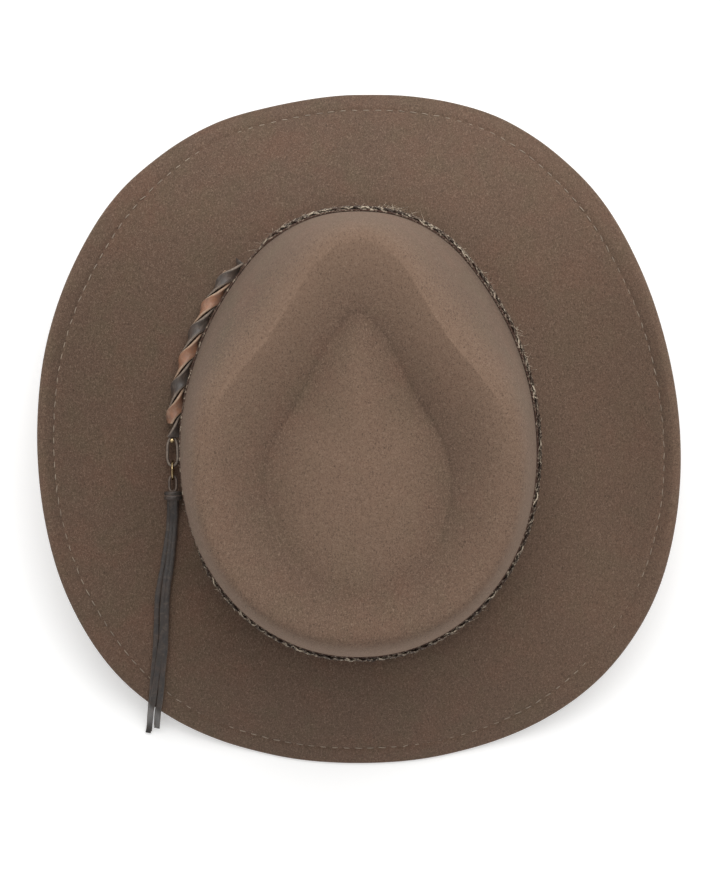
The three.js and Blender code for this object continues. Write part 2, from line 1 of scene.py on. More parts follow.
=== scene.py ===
import math
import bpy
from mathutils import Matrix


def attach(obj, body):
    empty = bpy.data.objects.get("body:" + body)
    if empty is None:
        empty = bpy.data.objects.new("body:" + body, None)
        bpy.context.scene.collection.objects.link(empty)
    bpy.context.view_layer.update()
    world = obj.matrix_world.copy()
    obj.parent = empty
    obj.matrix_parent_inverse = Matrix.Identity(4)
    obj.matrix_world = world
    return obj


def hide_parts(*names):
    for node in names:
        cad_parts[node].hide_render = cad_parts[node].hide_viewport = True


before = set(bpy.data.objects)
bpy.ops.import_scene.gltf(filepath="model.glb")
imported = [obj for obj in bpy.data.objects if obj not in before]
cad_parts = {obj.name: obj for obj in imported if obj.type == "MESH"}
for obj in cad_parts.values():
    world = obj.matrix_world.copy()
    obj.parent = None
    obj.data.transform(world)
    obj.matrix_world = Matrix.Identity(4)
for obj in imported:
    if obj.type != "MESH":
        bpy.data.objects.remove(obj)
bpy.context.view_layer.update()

from types import SimpleNamespace

import bpy
import numpy as np

# Camera, floor and light.
# The hat lies on its brim on a plain pale floor and is seen from straight above, its front at the top of
# the picture. A large soft lamp stands in front of it, a little to the wearer's right.

CAMERA_HEIGHT = 1.7
CAMERA_PLACE = (-0.0005, 0.0029, CAMERA_HEIGHT)
CAMERA_LENS = 146.8
FLOOR_SIZE = 8.0
FLOOR_COLOUR = (0.93, 0.93, 0.925, 1)
FLOOR_GLOW = 0.25
SKY_STRENGTH = 0.66
LAMP_PLACE = (-0.2, -1.3, 2.0)
LAMP_SIZE = 2.0
LAMP_POWER = 46


def light_and_camera():
    """Camera looking straight down, one square soft lamp that faces the hat, and an even sky."""
    scene = bpy.context.scene
    scene.view_settings.view_transform = "Standard"
    lens = bpy.data.cameras.new("camera")
    lens.lens = CAMERA_LENS
    camera = bpy.data.objects.new("camera", lens)
    camera.location = CAMERA_PLACE
    camera.rotation_euler = (0, 0, math.pi)
    scene.collection.objects.link(camera)
    scene.camera = camera
    glow = bpy.data.lights.new("soft_lamp", "AREA")
    glow.size = LAMP_SIZE
    glow.energy = LAMP_POWER
    lamp = bpy.data.objects.new("soft_lamp", glow)
    x, y, z = LAMP_PLACE
    lamp.location = LAMP_PLACE
    lamp.rotation_euler = (math.atan2(math.hypot(x, y), z), 0, math.atan2(x, -y))
    scene.collection.objects.link(lamp)
    sky = bpy.data.worlds.new("even_sky")
    sky.use_nodes = True
    sky.node_tree.nodes["Background"].inputs["Color"].default_value = (1, 1, 1, 1)
    sky.node_tree.nodes["Background"].inputs["Strength"].default_value = SKY_STRENGTH
    scene.world = sky


def new_material(name, values):
    """A material whose shader has the given values on its own sockets. Gives its tree and the
    shader."""
    material = bpy.data.materials.new(name)
    material.use_nodes = True
    shader = material.node_tree.nodes["Principled BSDF"]
    for title, value in values.items():
        shader.inputs[title].default_value = value
    return material, material.node_tree, shader


def add_floor():
    """One square face at the height of the brim's lowest points."""
    half = FLOOR_SIZE / 2
    mesh = bpy.data.meshes.new("floor")
    corners = [(-half, -half, 0), (half, -half, 0), (half, half, 0), (-half, half, 0)]
    mesh.from_pydata(corners, [], [(0, 1, 2, 3)])
    floor = bpy.data.objects.new("floor", mesh)
    bpy.context.scene.collection.objects.link(floor)
    material, _, _ = new_material("pale_floor", {"Base Color": FLOOR_COLOUR, "Roughness": 0.9,
                                                  "Emission Color": FLOOR_COLOUR,
                                                  "Emission Strength": FLOOR_GLOW})
    mesh.materials.append(material)


light_and_camera()
add_floor()

# Felt crown and brim.
# One piece of wool felt, blocked over a form: a teardrop crown pinched at its front, with a dent that
# leaves a low dome in its middle. The brim's edge is folded under and held by one row of stitches.

CROWN_LENGTH = 0.207
CROWN_WIDTH = 0.166
CROWN_HEIGHT = 0.103
CROWN_LIFT = 0.036
DENT_DEPTH = 0.025
DOME_HEIGHT = 0.097
HUB_SHARE = 0.178
FELT = 0.0022
BREAK_RADIUS = 0.005
BRIM_WIDTH = 0.070
SIDE_RISE = 0.058
HEM_WIDTH = 0.0125
HEM_THICKNESS = 0.0042
HEM_CUT = 0.0004
HEM_PRESS = 0.74
WALL_BELLY = 1.5
RIDGE_FALL = 0.22
RIDGE_SLOPE = 0.7
DOME_POWER = 2.4
DOME_FLATNESS = 0.55
TROUGH_POWER = 1.8
TROUGH_SHARPNESS = 0.6
VALLEY_WALL = 1.15
CREST_WALL = 1.2
CREST_SINK = 1.3
CREST_CROWDING = 1.4
DOME_RINGS = 18
SLOPE_RINGS = 26
WALL_RINGS = 34
STITCH_INSET = 0.0104
STITCH_GROOVE = 0.0005
GROOVE_WIDTH = 0.0010
HEM_PUFF = 0.0004
PUFF_PLACE = 0.62
PUFF_WIDTH = 0.3
# Shares of painted light and sheen in the felt's colour: on the dome, on the crest, as a painted highlight
# along sharp ridges, and on the brim towards the wearer's right.
PAINTED_LIGHT_DOME = 0.66
PAINTED_LIGHT_CREST = 0.62
PAINTED_HIGHLIGHT_RIDGE = 0.8
PAINTED_LIGHT_BRIM = 0.3
WAVE_HEIGHT = 0.00016
# Radians per metre along x and along y, start and size of each wave.
FELT_WAVES = ((61, 23, 1.0, 1), (-37, 71, 2.1, 1), (113, -47, 0.4, 1), (151, 139, 4.0, 0.6))
FELT_COLOUR = (0.114, 0.0715, 0.0500, 1)
FELT_WARM = (0.136, 0.0745, 0.0505, 1)
FELT_OLIVE = (0.105, 0.0765, 0.0490, 1)
FELT_LIGHT_FIBRE = (0.290, 0.205, 0.150, 1)
FELT_DARK_FIBRE = (0.045, 0.030, 0.022, 1)
# Paler colour painted onto the felt where it should look lit: painted light and sheen.
FELT_PAINTED_LIGHT = (0.192, 0.123, 0.085, 1)

# Shares by section angle, counted from the front round the middle of the dent.
CROWN_SECTIONS = {
    "angle": (0, 12, 26, 42, 58, 72, 90, 110, 130, 155, 180),
    "base": (1.153, 1.154, 1.135, 1.083, 1.045, 1.02, 0.994, 0.966, 0.92, 0.867, 0.845),
    "crest": (0.975, 0.93, 0.803, 0.735, 0.76, 0.805, 0.815, 0.81, 0.785, 0.73, 0.7),
    "height": (0.965, 0.965, 0.975, 0.985, 0.99, 1, 1, 1, 1, 0.985, 0.975),
    "valley": (0.68, 0.635, 0.614, 0.59, 0.56, 0.555, 0.59, 0.62, 0.67, 0.74, 0.78),
    "depth": (0.3, 0.4, 0.54, 0.64, 0.68, 0.68, 0.66, 0.62, 0.5, 0.36, 0.3),
    "shoulder": (2.6, 2.4, 2.1, 2.1, 2.5, 3, 3.2, 3.2, 3.2, 3.2, 3.2),
    "ridge": (0.2, 0.5, 0.8, 0.85, 0.6, 0.2, 0, 0, 0, 0, 0),
}
BRIM_SECTIONS = {
    "angle": (0, 10, 18, 28, 38, 48, 60, 72, 84, 97, 110, 124, 135, 147, 158, 170, 180),
    "run": (0.84, 0.85, 0.885, 0.95, 1.0, 1.025, 1.0, 0.97, 0.948, 0.944, 0.955, 0.95, 0.912, 0.86,
            0.815, 0.785, 0.776),
    "lean": (0, -0.012, -0.018, -0.014, -0.005, 0.006, 0.014, 0.014, 0, -0.013, -0.018, -0.009, -0.003,
             0, 0, 0, 0),
    "rise": (0, 0, 0, 0.08, 0.3, 0.54, 0.79, 0.95, 1.0, 0.97, 0.79, 0.48, 0.25, 0.07, 0, 0, 0),
    "curl": (1.3, 1.3, 1.3, 1.35, 1.5, 1.8, 2.1, 2.2, 2.2, 2.2, 2.1, 1.8, 1.5, 1.35, 1.3, 1.3, 1.3),
}

HALF_LENGTH = CROWN_LENGTH / 2
HALF_WIDTH = CROWN_WIDTH / 2
HUB_Y = HUB_SHARE * HALF_LENGTH
UP = np.array((0.0, 0.0, 1.0))
NO_TRIANGLES = np.zeros((0, 3), int)


def column(table, name, angle):
    """A table's column at any angles: cubic pieces through its rows, each row's slope that of the line
    between its neighbours, and level at the first and the last row."""
    knots = np.array(table["angle"], float)
    values = np.array(table[name], float)
    slopes = np.zeros_like(values)
    slopes[1:-1] = (values[2:] - values[:-2]) / (knots[2:] - knots[:-2])
    i = np.clip(np.searchsorted(knots, angle, side="right") - 1, 0, len(knots) - 2)
    span = knots[i + 1] - knots[i]
    t = np.clip((angle - knots[i]) / span, 0, 1)
    start = (1 + 2 * t) * (1 - t) ** 2 * values[i] + t * (1 - t) ** 2 * span * slopes[i]
    end = t * t * (3 - 2 * t) * values[i + 1] + t * t * (t - 1) * span * slopes[i + 1]
    return start + end


def section_at(turn):
    """Upright sections through the hat at an array of turns, in degrees from the front, positive on the
    wearer's left. A length is the table's share times the reach of an ellipse of the crown's size from
    the hub."""
    angle = np.abs(turn)
    across = np.sin(np.radians(turn)) * HALF_WIDTH
    along = -np.cos(np.radians(turn)) * HALF_LENGTH
    reach = np.hypot(across, along)
    base = column(CROWN_SECTIONS, "base", angle) * reach
    crest = column(CROWN_SECTIONS, "crest", angle) * reach
    crest_z = CROWN_LIFT + column(CROWN_SECTIONS, "height", angle) * CROWN_HEIGHT
    run = column(BRIM_SECTIONS, "run", angle) + np.sign(turn) * column(BRIM_SECTIONS, "lean", angle)
    return SimpleNamespace(
        out=np.stack((across / reach, along / reach, np.zeros_like(reach)), axis=-1),
        base=base,
        crest=crest,
        crest_z=crest_z,
        valley=column(CROWN_SECTIONS, "valley", angle) * crest,
        valley_z=crest_z - column(CROWN_SECTIONS, "depth", angle) * DENT_DEPTH,
        shoulder=column(CROWN_SECTIONS, "shoulder", angle),
        ridge=column(CROWN_SECTIONS, "ridge", angle),
        edge=base + run * BRIM_WIDTH,
        edge_z=np.maximum(0, column(BRIM_SECTIONS, "rise", angle) * SIDE_RISE),
        curl=column(BRIM_SECTIONS, "curl", angle),
    )


def place(section, distance, z):
    """Points at a distance from the hub line along each section, at a height."""
    distance, z = np.broadcast_arrays(distance, z)
    return section.out * distance[..., None] + np.stack((0 * z, 0 * z + HUB_Y, z), axis=-1)


def footprint_middle():
    """Middle of the box round the brim's edge, which stands on the origin."""
    section = section_at(np.arange(64) * 360 / 64 - 180)
    edge = place(section, section.edge, 0 * section.edge)
    return (edge.min(axis=0) + edge.max(axis=0)) / 2


MIDDLE = footprint_middle()


def ease(t):
    """Three times the square less twice the cube, which starts and ends level."""
    return t * t * (3 - 2 * t)


def mix(a, b, t):
    """a at 0, b at 1, and in a straight line between."""
    return a + (b - a) * t


def wall_height(section, out):
    """Share of the wall's height at a share of the way out from the crest to the foot: one less a
    straight fall from a sharp ridge and a power that rounds the shoulder, and all to the power that
    makes the wall upright."""
    fall = RIDGE_FALL * section.ridge
    left = 1 - fall * out - (1 - fall) * out ** section.shoulder
    return np.maximum(0, left) ** (1 / WALL_BELLY)


def dome_fall(t):
    """Share of the fall from the dome to the valley: slow at first, steepest just before the valley."""
    return mix(ease(t), t ** DOME_POWER, DOME_FLATNESS)


def trough_rise(t):
    """Share of the rise from the valley to the crest: quick at first, then level."""
    return mix(ease(t), 1 - (1 - t) ** TROUGH_POWER, TROUGH_SHARPNESS)


def crown_profile(section, inset, dome, slope, wall):
    """Crown from beside the hub over the crest to the foot of the wall, as lists of distances and
    heights. The dent's floor falls from the dome to the valley and climbs to the crest, and the wall
    drops to the brim. An inset of one felt thickness gives the inner face."""
    points = []
    dome_z = CROWN_LIFT + DOME_HEIGHT - inset
    valley_z = section.valley_z - VALLEY_WALL * inset
    crest = section.crest - CREST_WALL * inset
    crest_z = section.crest_z - CREST_SINK * inset
    foot_z = CROWN_LIFT + BREAK_RADIUS
    for t in np.arange(1, dome + 1) / dome:
        points.append((section.valley * t, mix(dome_z, valley_z, dome_fall(t))))
    for t in 1 - (1 - np.arange(1, slope + 1) / slope) ** CREST_CROWDING:
        rise = mix(trough_rise(t), t, RIDGE_SLOPE * section.ridge)
        points.append((mix(section.valley, crest, t), mix(valley_z, crest_z, rise)))
    for turn in (np.arange(1, wall + 1) / wall) ** CREST_CROWDING * math.pi / 2:
        out = math.sin(turn) ** (2 / section.shoulder)
        up = wall_height(section, out)
        points.append((mix(crest, section.base - inset, out), mix(foot_z, crest_z, up)))
    return points


def break_profile(section, inset, steps):
    """Quarter round between the wall and the brim."""
    points = []
    for turn in np.arange(1, steps) / steps * math.pi / 2:
        radius = BREAK_RADIUS + inset
        out = section.base + BREAK_RADIUS - radius * math.cos(turn)
        up = CROWN_LIFT + BREAK_RADIUS - radius * math.sin(turn)
        points.append((out, up + 0 * out))
    return points


def brim_shape(section):
    """The brim's upper face as a power curve from the break to its rounded edge, whose tilt follows the
    curve."""
    nose = HEM_THICKNESS / 2
    start = section.base + BREAK_RADIUS
    middle = (section.edge - nose, section.edge_z + HEM_PRESS * nose)
    tilt = 0 * start
    for _ in range(4):
        end = (middle[0] - nose * np.sin(tilt), middle[1] + nose * np.cos(tilt))
        tilt = np.arctan(section.curl * (end[1] - CROWN_LIFT) / (end[0] - start))
    run, rise = end[0] - start, end[1] - CROWN_LIFT
    share = lambda d: np.clip((d - start) / run, 0, 1)
    top = lambda d: CROWN_LIFT + rise * share(d) ** section.curl
    bend = lambda d: section.curl * rise * share(d) ** (section.curl - 1) / run
    steep = lambda d: np.hypot(1, bend(d))
    return SimpleNamespace(
        start=start, end=end, middle=middle, nose=nose, tilt=tilt, top=top, steep=steep
    )


def hem_relief(inward):
    """How far the stitched hem stands above the plain brim, at a distance inward from the edge: a
    groove where the stitches pull it down and a low roll between them and the edge."""
    groove = -STITCH_GROOVE * np.exp(-(((inward - STITCH_INSET) / GROOVE_WIDTH) ** 2))
    roll = HEM_PUFF * np.exp(-(((inward - PUFF_PLACE * STITCH_INSET) / (PUFF_WIDTH * STITCH_INSET)) ** 2))
    return groove + roll


def felt_rings(turns):
    """Every ring of the felt, as points for each turn: upper face from the dent to the edge, then the
    lower face back to the middle of the crown."""
    section = section_at(turns)
    brim = brim_shape(section)
    hem = section.edge - HEM_WIDTH / brim.steep(section.edge)
    inward = lambda d: (section.edge - d) * brim.steep(section.edge)
    under = lambda d, thickness: (d, brim.top(d) - thickness * brim.steep(d))
    profile = crown_profile(section, 0, DOME_RINGS, SLOPE_RINGS, WALL_RINGS)
    profile += break_profile(section, 0, 6)
    for t in np.linspace(0, 1, 34):
        distance = mix(brim.start, hem, t)
        profile.append((distance, brim.top(distance) + hem_relief(inward(distance))))
    for t in np.linspace(0, 1, 24)[1:]:
        distance = mix(hem, brim.end[0], t)
        profile.append((distance, brim.top(distance) + hem_relief(inward(distance))))
    for turn in np.radians(np.linspace(90, -90, 15)[1:]):
        direction = brim.tilt + turn
        z = brim.middle[1] + brim.nose * np.sin(direction)
        profile.append((brim.middle[0] + brim.nose * np.cos(direction), np.maximum(0, z)))
    last = profile[-1]
    seam = under(hem, HEM_THICKNESS)
    for t in np.linspace(0, 1, 12)[1:]:
        distance = mix(last[0], seam[0], t)
        lift = hem_relief(inward(distance)) * np.clip(inward(distance) / 0.006 - 1, 0, 1)
        profile.append((distance, np.maximum(0, mix(last[1], seam[1], t) - lift)))
    profile.append(under(hem - HEM_CUT, FELT))
    for t in np.linspace(1, 0, 20)[1:]:
        profile.append(under(mix(brim.start, hem, t), FELT))
    profile += break_profile(section, FELT, 5)[::-1]
    profile += crown_profile(section, FELT, 8, 8, 12)[::-1]
    return np.stack([place(section, distance, z) for distance, z in profile])


def smooth_share(value, low, high):
    """0 below low, 1 above high, and eased between."""
    return ease(np.clip((value - low) / (high - low), 0, 1))


def painted_light_rings(rows, turns):
    """How much painted light and sheen each ring of the felt gets: the crown more than the brim, its crest
    and wall the most, the wall lit more at the front, the rear and the wearer's right, the valley least as
    painted shade, less again towards the wall's foot as painted shade, and a painted highlight in a thin
    line along each sharp ridge."""
    crest = DOME_RINGS + SLOPE_RINGS
    ring = np.arange(rows)[:, None]
    to_valley = np.clip(ring / DOME_RINGS, 0, 1)
    to_crest = 1 - (1 - np.clip((ring - DOME_RINGS) / SLOPE_RINGS, 0, 1)) ** CREST_CROWDING
    down_wall = np.clip((ring - crest) / WALL_RINGS, 0, 1) ** CREST_CROWDING
    front = np.cos(np.radians(turns / 2)) ** 4
    rear = np.sin(np.radians(turns / 2)) ** 4
    right = np.clip(-np.sin(np.radians(turns)), 0, 1)
    # Painted light on the dome, which fades to painted shade in the valley.
    painted_light = PAINTED_LIGHT_DOME - PAINTED_LIGHT_DOME * to_valley ** 4
    # Painted light on the crest, more at the front and less at the rear.
    painted_light = painted_light + (PAINTED_LIGHT_CREST + 0.35 * front - 0.3 * rear) * np.sqrt(to_crest)
    # Painted sheen on the wall, stronger at the front, the rear and the wearer's right.
    lit = 0.4 * front ** 6 + 0.85 * rear + 0.28 * right
    painted_light = mix(painted_light, lit, smooth_share(down_wall, 0.0, 0.35))
    # Painted shade: the painted light fades towards the wall's foot.
    painted_light = painted_light - 0.5 * smooth_share(down_wall, 0.5, 1.0)
    brim = ring > crest + WALL_RINGS + 2
    sharp = section_at(turns).ridge[None, :]
    # Painted highlight in a thin line along each sharp ridge.
    line = PAINTED_HIGHLIGHT_RIDGE * sharp * np.exp(-(((ring - crest) / 1.1) ** 2))
    # On the brim, painted light towards the wearer's right only.
    return np.where(brim, PAINTED_LIGHT_BRIM * right, painted_light + line)


def soft_waves(rings, height):
    """The felt's own unevenness: a sum of long sine waves over x and y, a few tenths of a millimetre
    high."""
    x, y = rings[..., 0], rings[..., 1]
    waves = sum(size * np.sin(u * x + v * y + start) for u, v, start, size in FELT_WAVES)
    fade = np.clip(rings[..., 2] / 0.012, 0, 1)
    lifted = rings.copy()
    lifted[..., 2] += height * waves * fade
    return lifted


def grid_faces(rows, columns, loop_rows=False):
    """Quads between neighbours of a grid of vertices, and from its last column, or also its last row,
    back to the first."""
    i = np.arange(rows if loop_rows else rows - 1)[:, None]
    j = np.arange(columns)[None, :]
    here, right = i * columns + j, i * columns + (j + 1) % columns
    below = ((i + 1) % rows) * columns
    quads = np.stack((here, right, below + (j + 1) % columns, below + j), axis=-1)
    return quads.reshape(-1, 4)


def new_piece(name, points, quads, material, triangles=None):
    """A piece from points in the hat's frame, moved so that the brim's middle stands on the origin."""
    points = np.asarray(points, float).reshape(-1, 3) - MIDDLE
    quads = np.asarray(quads, int).reshape(-1, 4)
    triangles = np.asarray(NO_TRIANGLES if triangles is None else triangles, int).reshape(-1, 3)
    corners = np.concatenate((quads.ravel(), triangles.ravel()))
    sizes = np.concatenate((np.full(len(quads), 4), np.full(len(triangles), 3)))
    mesh = bpy.data.meshes.new(name)
    mesh.vertices.add(len(points))
    mesh.vertices.foreach_set("co", points.ravel())
    mesh.loops.add(len(corners))
    mesh.loops.foreach_set("vertex_index", corners)
    mesh.polygons.add(len(sizes))
    mesh.polygons.foreach_set("loop_start", np.concatenate(([0], np.cumsum(sizes)[:-1])))
    mesh.update(calc_edges=True)
    mesh.validate()
    mesh.shade_smooth()
    mesh.materials.append(material)
    piece = bpy.data.objects.new(name, mesh)
    bpy.context.scene.collection.objects.link(piece)
    return piece


def set_attribute(piece, name, values):
    """One number for each vertex, which the piece's material reads."""
    layer = piece.data.attributes.new(name, "FLOAT", "POINT")
    layer.data.foreach_set("value", np.asarray(values, np.float32).ravel())


def fan(centre, ring, columns, flip):
    """Triangles from one vertex to a ring that starts at a given index."""
    j = np.arange(columns)
    near, far = ring + j, ring + (j + 1) % columns
    return np.stack((0 * j + centre, far, near) if flip else (0 * j + centre, near, far), axis=-1)


def new_group(name, inputs, outputs):
    """An empty shader node group with named inputs, each with its kind and value, and named outputs."""
    tree = bpy.data.node_groups.new(name, "ShaderNodeTree")
    for title, kind, value in inputs:
        socket = tree.interface.new_socket(title, in_out="INPUT", socket_type=kind)
        if value is not None:
            socket.default_value = value
    for title, kind in outputs:
        tree.interface.new_socket(title, in_out="OUTPUT", socket_type=kind)
    return tree, tree.nodes.new("NodeGroupInput").outputs, tree.nodes.new("NodeGroupOutput").inputs


def add(tree, kind, inputs, **settings):
    """A node with its settings. An input is linked where it is given a socket, and set where it is a
    value."""
    node = tree.nodes.new(kind)
    for title, value in settings.items():
        setattr(node, title, value)
    for title, value in inputs.items():
        if isinstance(value, bpy.types.NodeSocket):
            tree.links.new(value, node.inputs[title])
        else:
            node.inputs[title].default_value = value
    return node


def add_group(tree, group, inputs):
    """A group placed in a tree, with its own values."""
    return add(tree, "ShaderNodeGroup", inputs, node_tree=group)


def noise(tree, vector, scale, detail=3.0, roughness=0.5, distortion=0.0):
    """A cloud of values round a half."""
    inputs = {"Vector": vector, "Scale": scale, "Detail": detail}
    inputs |= {"Roughness": roughness, "Distortion": distortion}
    return add(tree, "ShaderNodeTexNoise", inputs).outputs["Fac"]


def between(tree, value, low, high, start=0.0, end=1.0):
    """A value's share of the way from low to high, kept from start to end."""
    inputs = {"Value": value, "From Min": low, "From Max": high, "To Min": start, "To Max": end}
    return add(tree, "ShaderNodeMapRange", inputs).outputs["Result"]


def math_node(tree, operation, first, second):
    """One operation on two values."""
    return add(tree, "ShaderNodeMath", {0: first, 1: second}, operation=operation).outputs[0]


def mix_colour(tree, share, first, second):
    """One colour laid over another by a share."""
    return add(tree, "ShaderNodeMix", {0: share, 6: first, 7: second}, data_type="RGBA").outputs[2]


def multiply(tree, first, second):
    """One value times another."""
    return math_node(tree, "MULTIPLY", first, second)


def object_place(tree):
    """The coordinates of the piece itself."""
    return tree.nodes.new("ShaderNodeTexCoord").outputs["Object"]


def read_attribute(tree, name):
    """A number that the piece's vertices carry."""
    return add(tree, "ShaderNodeAttribute", {}, attribute_name=name).outputs["Fac"]


def bump(tree, height, distance, strength, **more):
    """A normal tilted by a height."""
    inputs = {"Height": height, "Distance": distance, "Strength": strength, **more}
    return add(tree, "ShaderNodeBump", inputs).outputs["Normal"]


def grown(tree, vector, factor):
    """The coordinates times one factor."""
    return add(tree, "ShaderNodeVectorMath", {0: vector, 3: factor}, operation="SCALE").outputs[0]


def scaled(tree, vector, scale):
    """The coordinates stretched by three factors."""
    return add(tree, "ShaderNodeMapping", {"Vector": vector, "Scale": scale}).outputs["Vector"]


def fibre_group():
    """Short matted fibres: two clouds stretched along different ways and a fine round one. The masks
    pick the palest and the darkest fibres, and the height is all three together."""
    tree, given, result = new_group(
        "matted_fibres",
        (("Vector", "NodeSocketVector", None), ("Scale", "NodeSocketFloat", 1000.0)),
        (("Pale", "NodeSocketFloat"), ("Dark", "NodeSocketFloat"), ("Height", "NodeSocketFloat")),
    )
    size = grown(tree, given["Vector"], given["Scale"])
    first = noise(tree, scaled(tree, size, (1.0, 0.6, 0.4)), 1.0, 2.0, 0.6, 1.0)
    second = noise(tree, scaled(tree, size, (0.6, 1.0, 0.4)), 1.0, 2.0, 0.6, 1.2)
    third = noise(tree, scaled(tree, size, (1.0, 1.0, 0.5)), 1.3, 2.0, 0.7)
    both = math_node(tree, "MAXIMUM", first, second)
    lower = math_node(tree, "MINIMUM", first, third)
    height = math_node(tree, "ADD", math_node(tree, "ADD", first, second), third)
    tree.links.new(between(tree, both, 0.54, 0.74), result["Pale"])
    tree.links.new(between(tree, lower, 0.46, 0.28), result["Dark"])
    tree.links.new(height, result["Height"])
    return tree


def uneven_dye_group():
    """Dye that took unevenly: soft blotches of a warmer and a cooler colour over the main one."""
    tree, given, result = new_group(
        "uneven_dye",
        (
            ("Vector", "NodeSocketVector", None),
            ("Size", "NodeSocketFloat", 20.0),
            ("Colour", "NodeSocketColor", None),
            ("Warm", "NodeSocketColor", None),
            ("Cool", "NodeSocketColor", None),
            ("Strength", "NodeSocketFloat", 0.5),
        ),
        (("Colour", "NodeSocketColor"),),
    )
    size = grown(tree, given["Vector"], given["Size"])
    warm = between(tree, noise(tree, size, 1.0, 3.0, 0.55, 0.3), 0.45, 0.68)
    elsewhere = scaled(tree, size, (-1.3, 1.1, 0.9))
    cool = between(tree, noise(tree, elsewhere, 1.2, 3.0, 0.55, 0.3), 0.45, 0.68)
    warmed = mix_colour(tree, multiply(tree, warm, given["Strength"]), given["Colour"], given["Warm"])
    cooled = mix_colour(tree, multiply(tree, cool, given["Strength"]), warmed, given["Cool"])
    tree.links.new(cooled, result["Colour"])
    return tree


MATTED_FIBRES = fibre_group()
UNEVEN_DYE = uneven_dye_group()


def dyed(tree, where, size, colours, strength):
    """The uneven dye of a main, a warmer and a cooler colour."""
    inputs = dict(zip(("Colour", "Warm", "Cool"), colours))
    inputs |= {"Vector": where, "Size": size, "Strength": strength}
    return add_group(tree, UNEVEN_DYE, inputs).outputs["Colour"]


def felt_material():
    """Brushed wool felt: blotchy taupe dye, painted light and sheen laid on by each vertex's share, pale
    and dark fibres on it, a soft nap that lights up at its edge."""
    material, tree, shader = new_material(
        "wool_felt",
        {
            "Roughness": 0.95,
            "Specular IOR Level": 0.2,
            "Sheen Weight": 0.08,
            "Sheen Roughness": 0.5,
            "Sheen Tint": (1.0, 0.84, 0.68, 1),
        },
    )
    where = object_place(tree)
    dye = dyed(tree, where, 42.0, (FELT_COLOUR, FELT_WARM, FELT_OLIVE), 0.6)
    fibres = add_group(tree, MATTED_FIBRES, {"Vector": where, "Scale": 1650.0})
    # Painted light, sheen and shade: the dye turns towards the paler colour by each vertex's share.
    painted_light = read_attribute(tree, "painted_light")
    crown = mix_colour(tree, painted_light, dye, FELT_PAINTED_LIGHT)
    pale = mix_colour(tree, multiply(tree, fibres.outputs["Pale"], 0.5), crown, FELT_LIGHT_FIBRE)
    both = mix_colour(tree, multiply(tree, fibres.outputs["Dark"], 0.7), pale, FELT_DARK_FIBRE)
    tree.links.new(both, shader.inputs["Base Color"])
    patches = bump(tree, noise(tree, where, 160.0, 4.0, 0.6), 0.0006, 0.35)
    nap = bump(tree, fibres.outputs["Height"], 0.00035, 0.55, Normal=patches)
    tree.links.new(nap, shader.inputs["Normal"])
    return material


def felt_shell():
    """The felt's closed surface: rings from the dent's middle to the edge and back underneath."""
    turns = np.linspace(-180, 180, 385)[:-1]
    rings = soft_waves(felt_rings(turns), WAVE_HEIGHT)
    rows, columns = rings.shape[:2]
    dome_z = rings[0, :, 2].mean()
    ceiling_z = rings[-1, :, 2].mean()
    poles = np.array([(0, HUB_Y, dome_z), (0, HUB_Y, ceiling_z)])
    points = np.concatenate((rings.reshape(-1, 3), poles))
    first = fan(rows * columns, 0, columns, False)
    last = fan(rows * columns + 1, (rows - 1) * columns, columns, True)
    caps = np.concatenate((first, last))
    quads = grid_faces(rows, columns)
    # Each ring's share of painted light; the dome's pole gets the crest's share and the ceiling none.
    painted_light = np.append(painted_light_rings(rows, turns), (PAINTED_LIGHT_CREST, 0.0))
    return points, quads, caps, painted_light


def felt_piece():
    """Puts the felt in the scene, its faces pointing out."""
    points, quads, caps, painted_light = felt_shell()
    felt = new_piece("felt_hat_body", points, quads[:, ::-1], felt_material(), caps)
    # The felt carries its share of painted light and shade as a vertex attribute.
    set_attribute(felt, "painted_light", painted_light)
    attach(felt, "root")
    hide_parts("felt_body")


felt_piece()

# Row of stitches in the brim.
# One pale beige thread, sewn about a centimetre inside the edge through both layers of the folded felt,
# so that each short stitch lies in a shallow groove on the upper face and again below.

STITCH_PITCH = 0.0056
STITCH_LENGTH = 0.0032
THREAD = 0.00034
THREAD_COLOUR = (0.310, 0.245, 0.180, 1)
THREAD_SOILED = (0.22, 0.165, 0.12, 1)
THREAD_SKEW = 0.00012


def length_along(path):
    """Length of a path up to each of its points."""
    return np.concatenate(([0], np.cumsum(np.linalg.norm(np.diff(path, axis=0), axis=1))))


def even_turns(distance_of, count):
    """Turns that divide a ring into equal lengths. distance_of gives the ring's distance in each
    section."""
    turns = np.linspace(-180, 180, 2881)
    section = section_at(turns)
    ring = place(section, distance_of(section), 0 * turns)
    travelled = length_along(ring)
    return np.interp(np.arange(count) / count * travelled[-1], travelled, turns), travelled[-1]


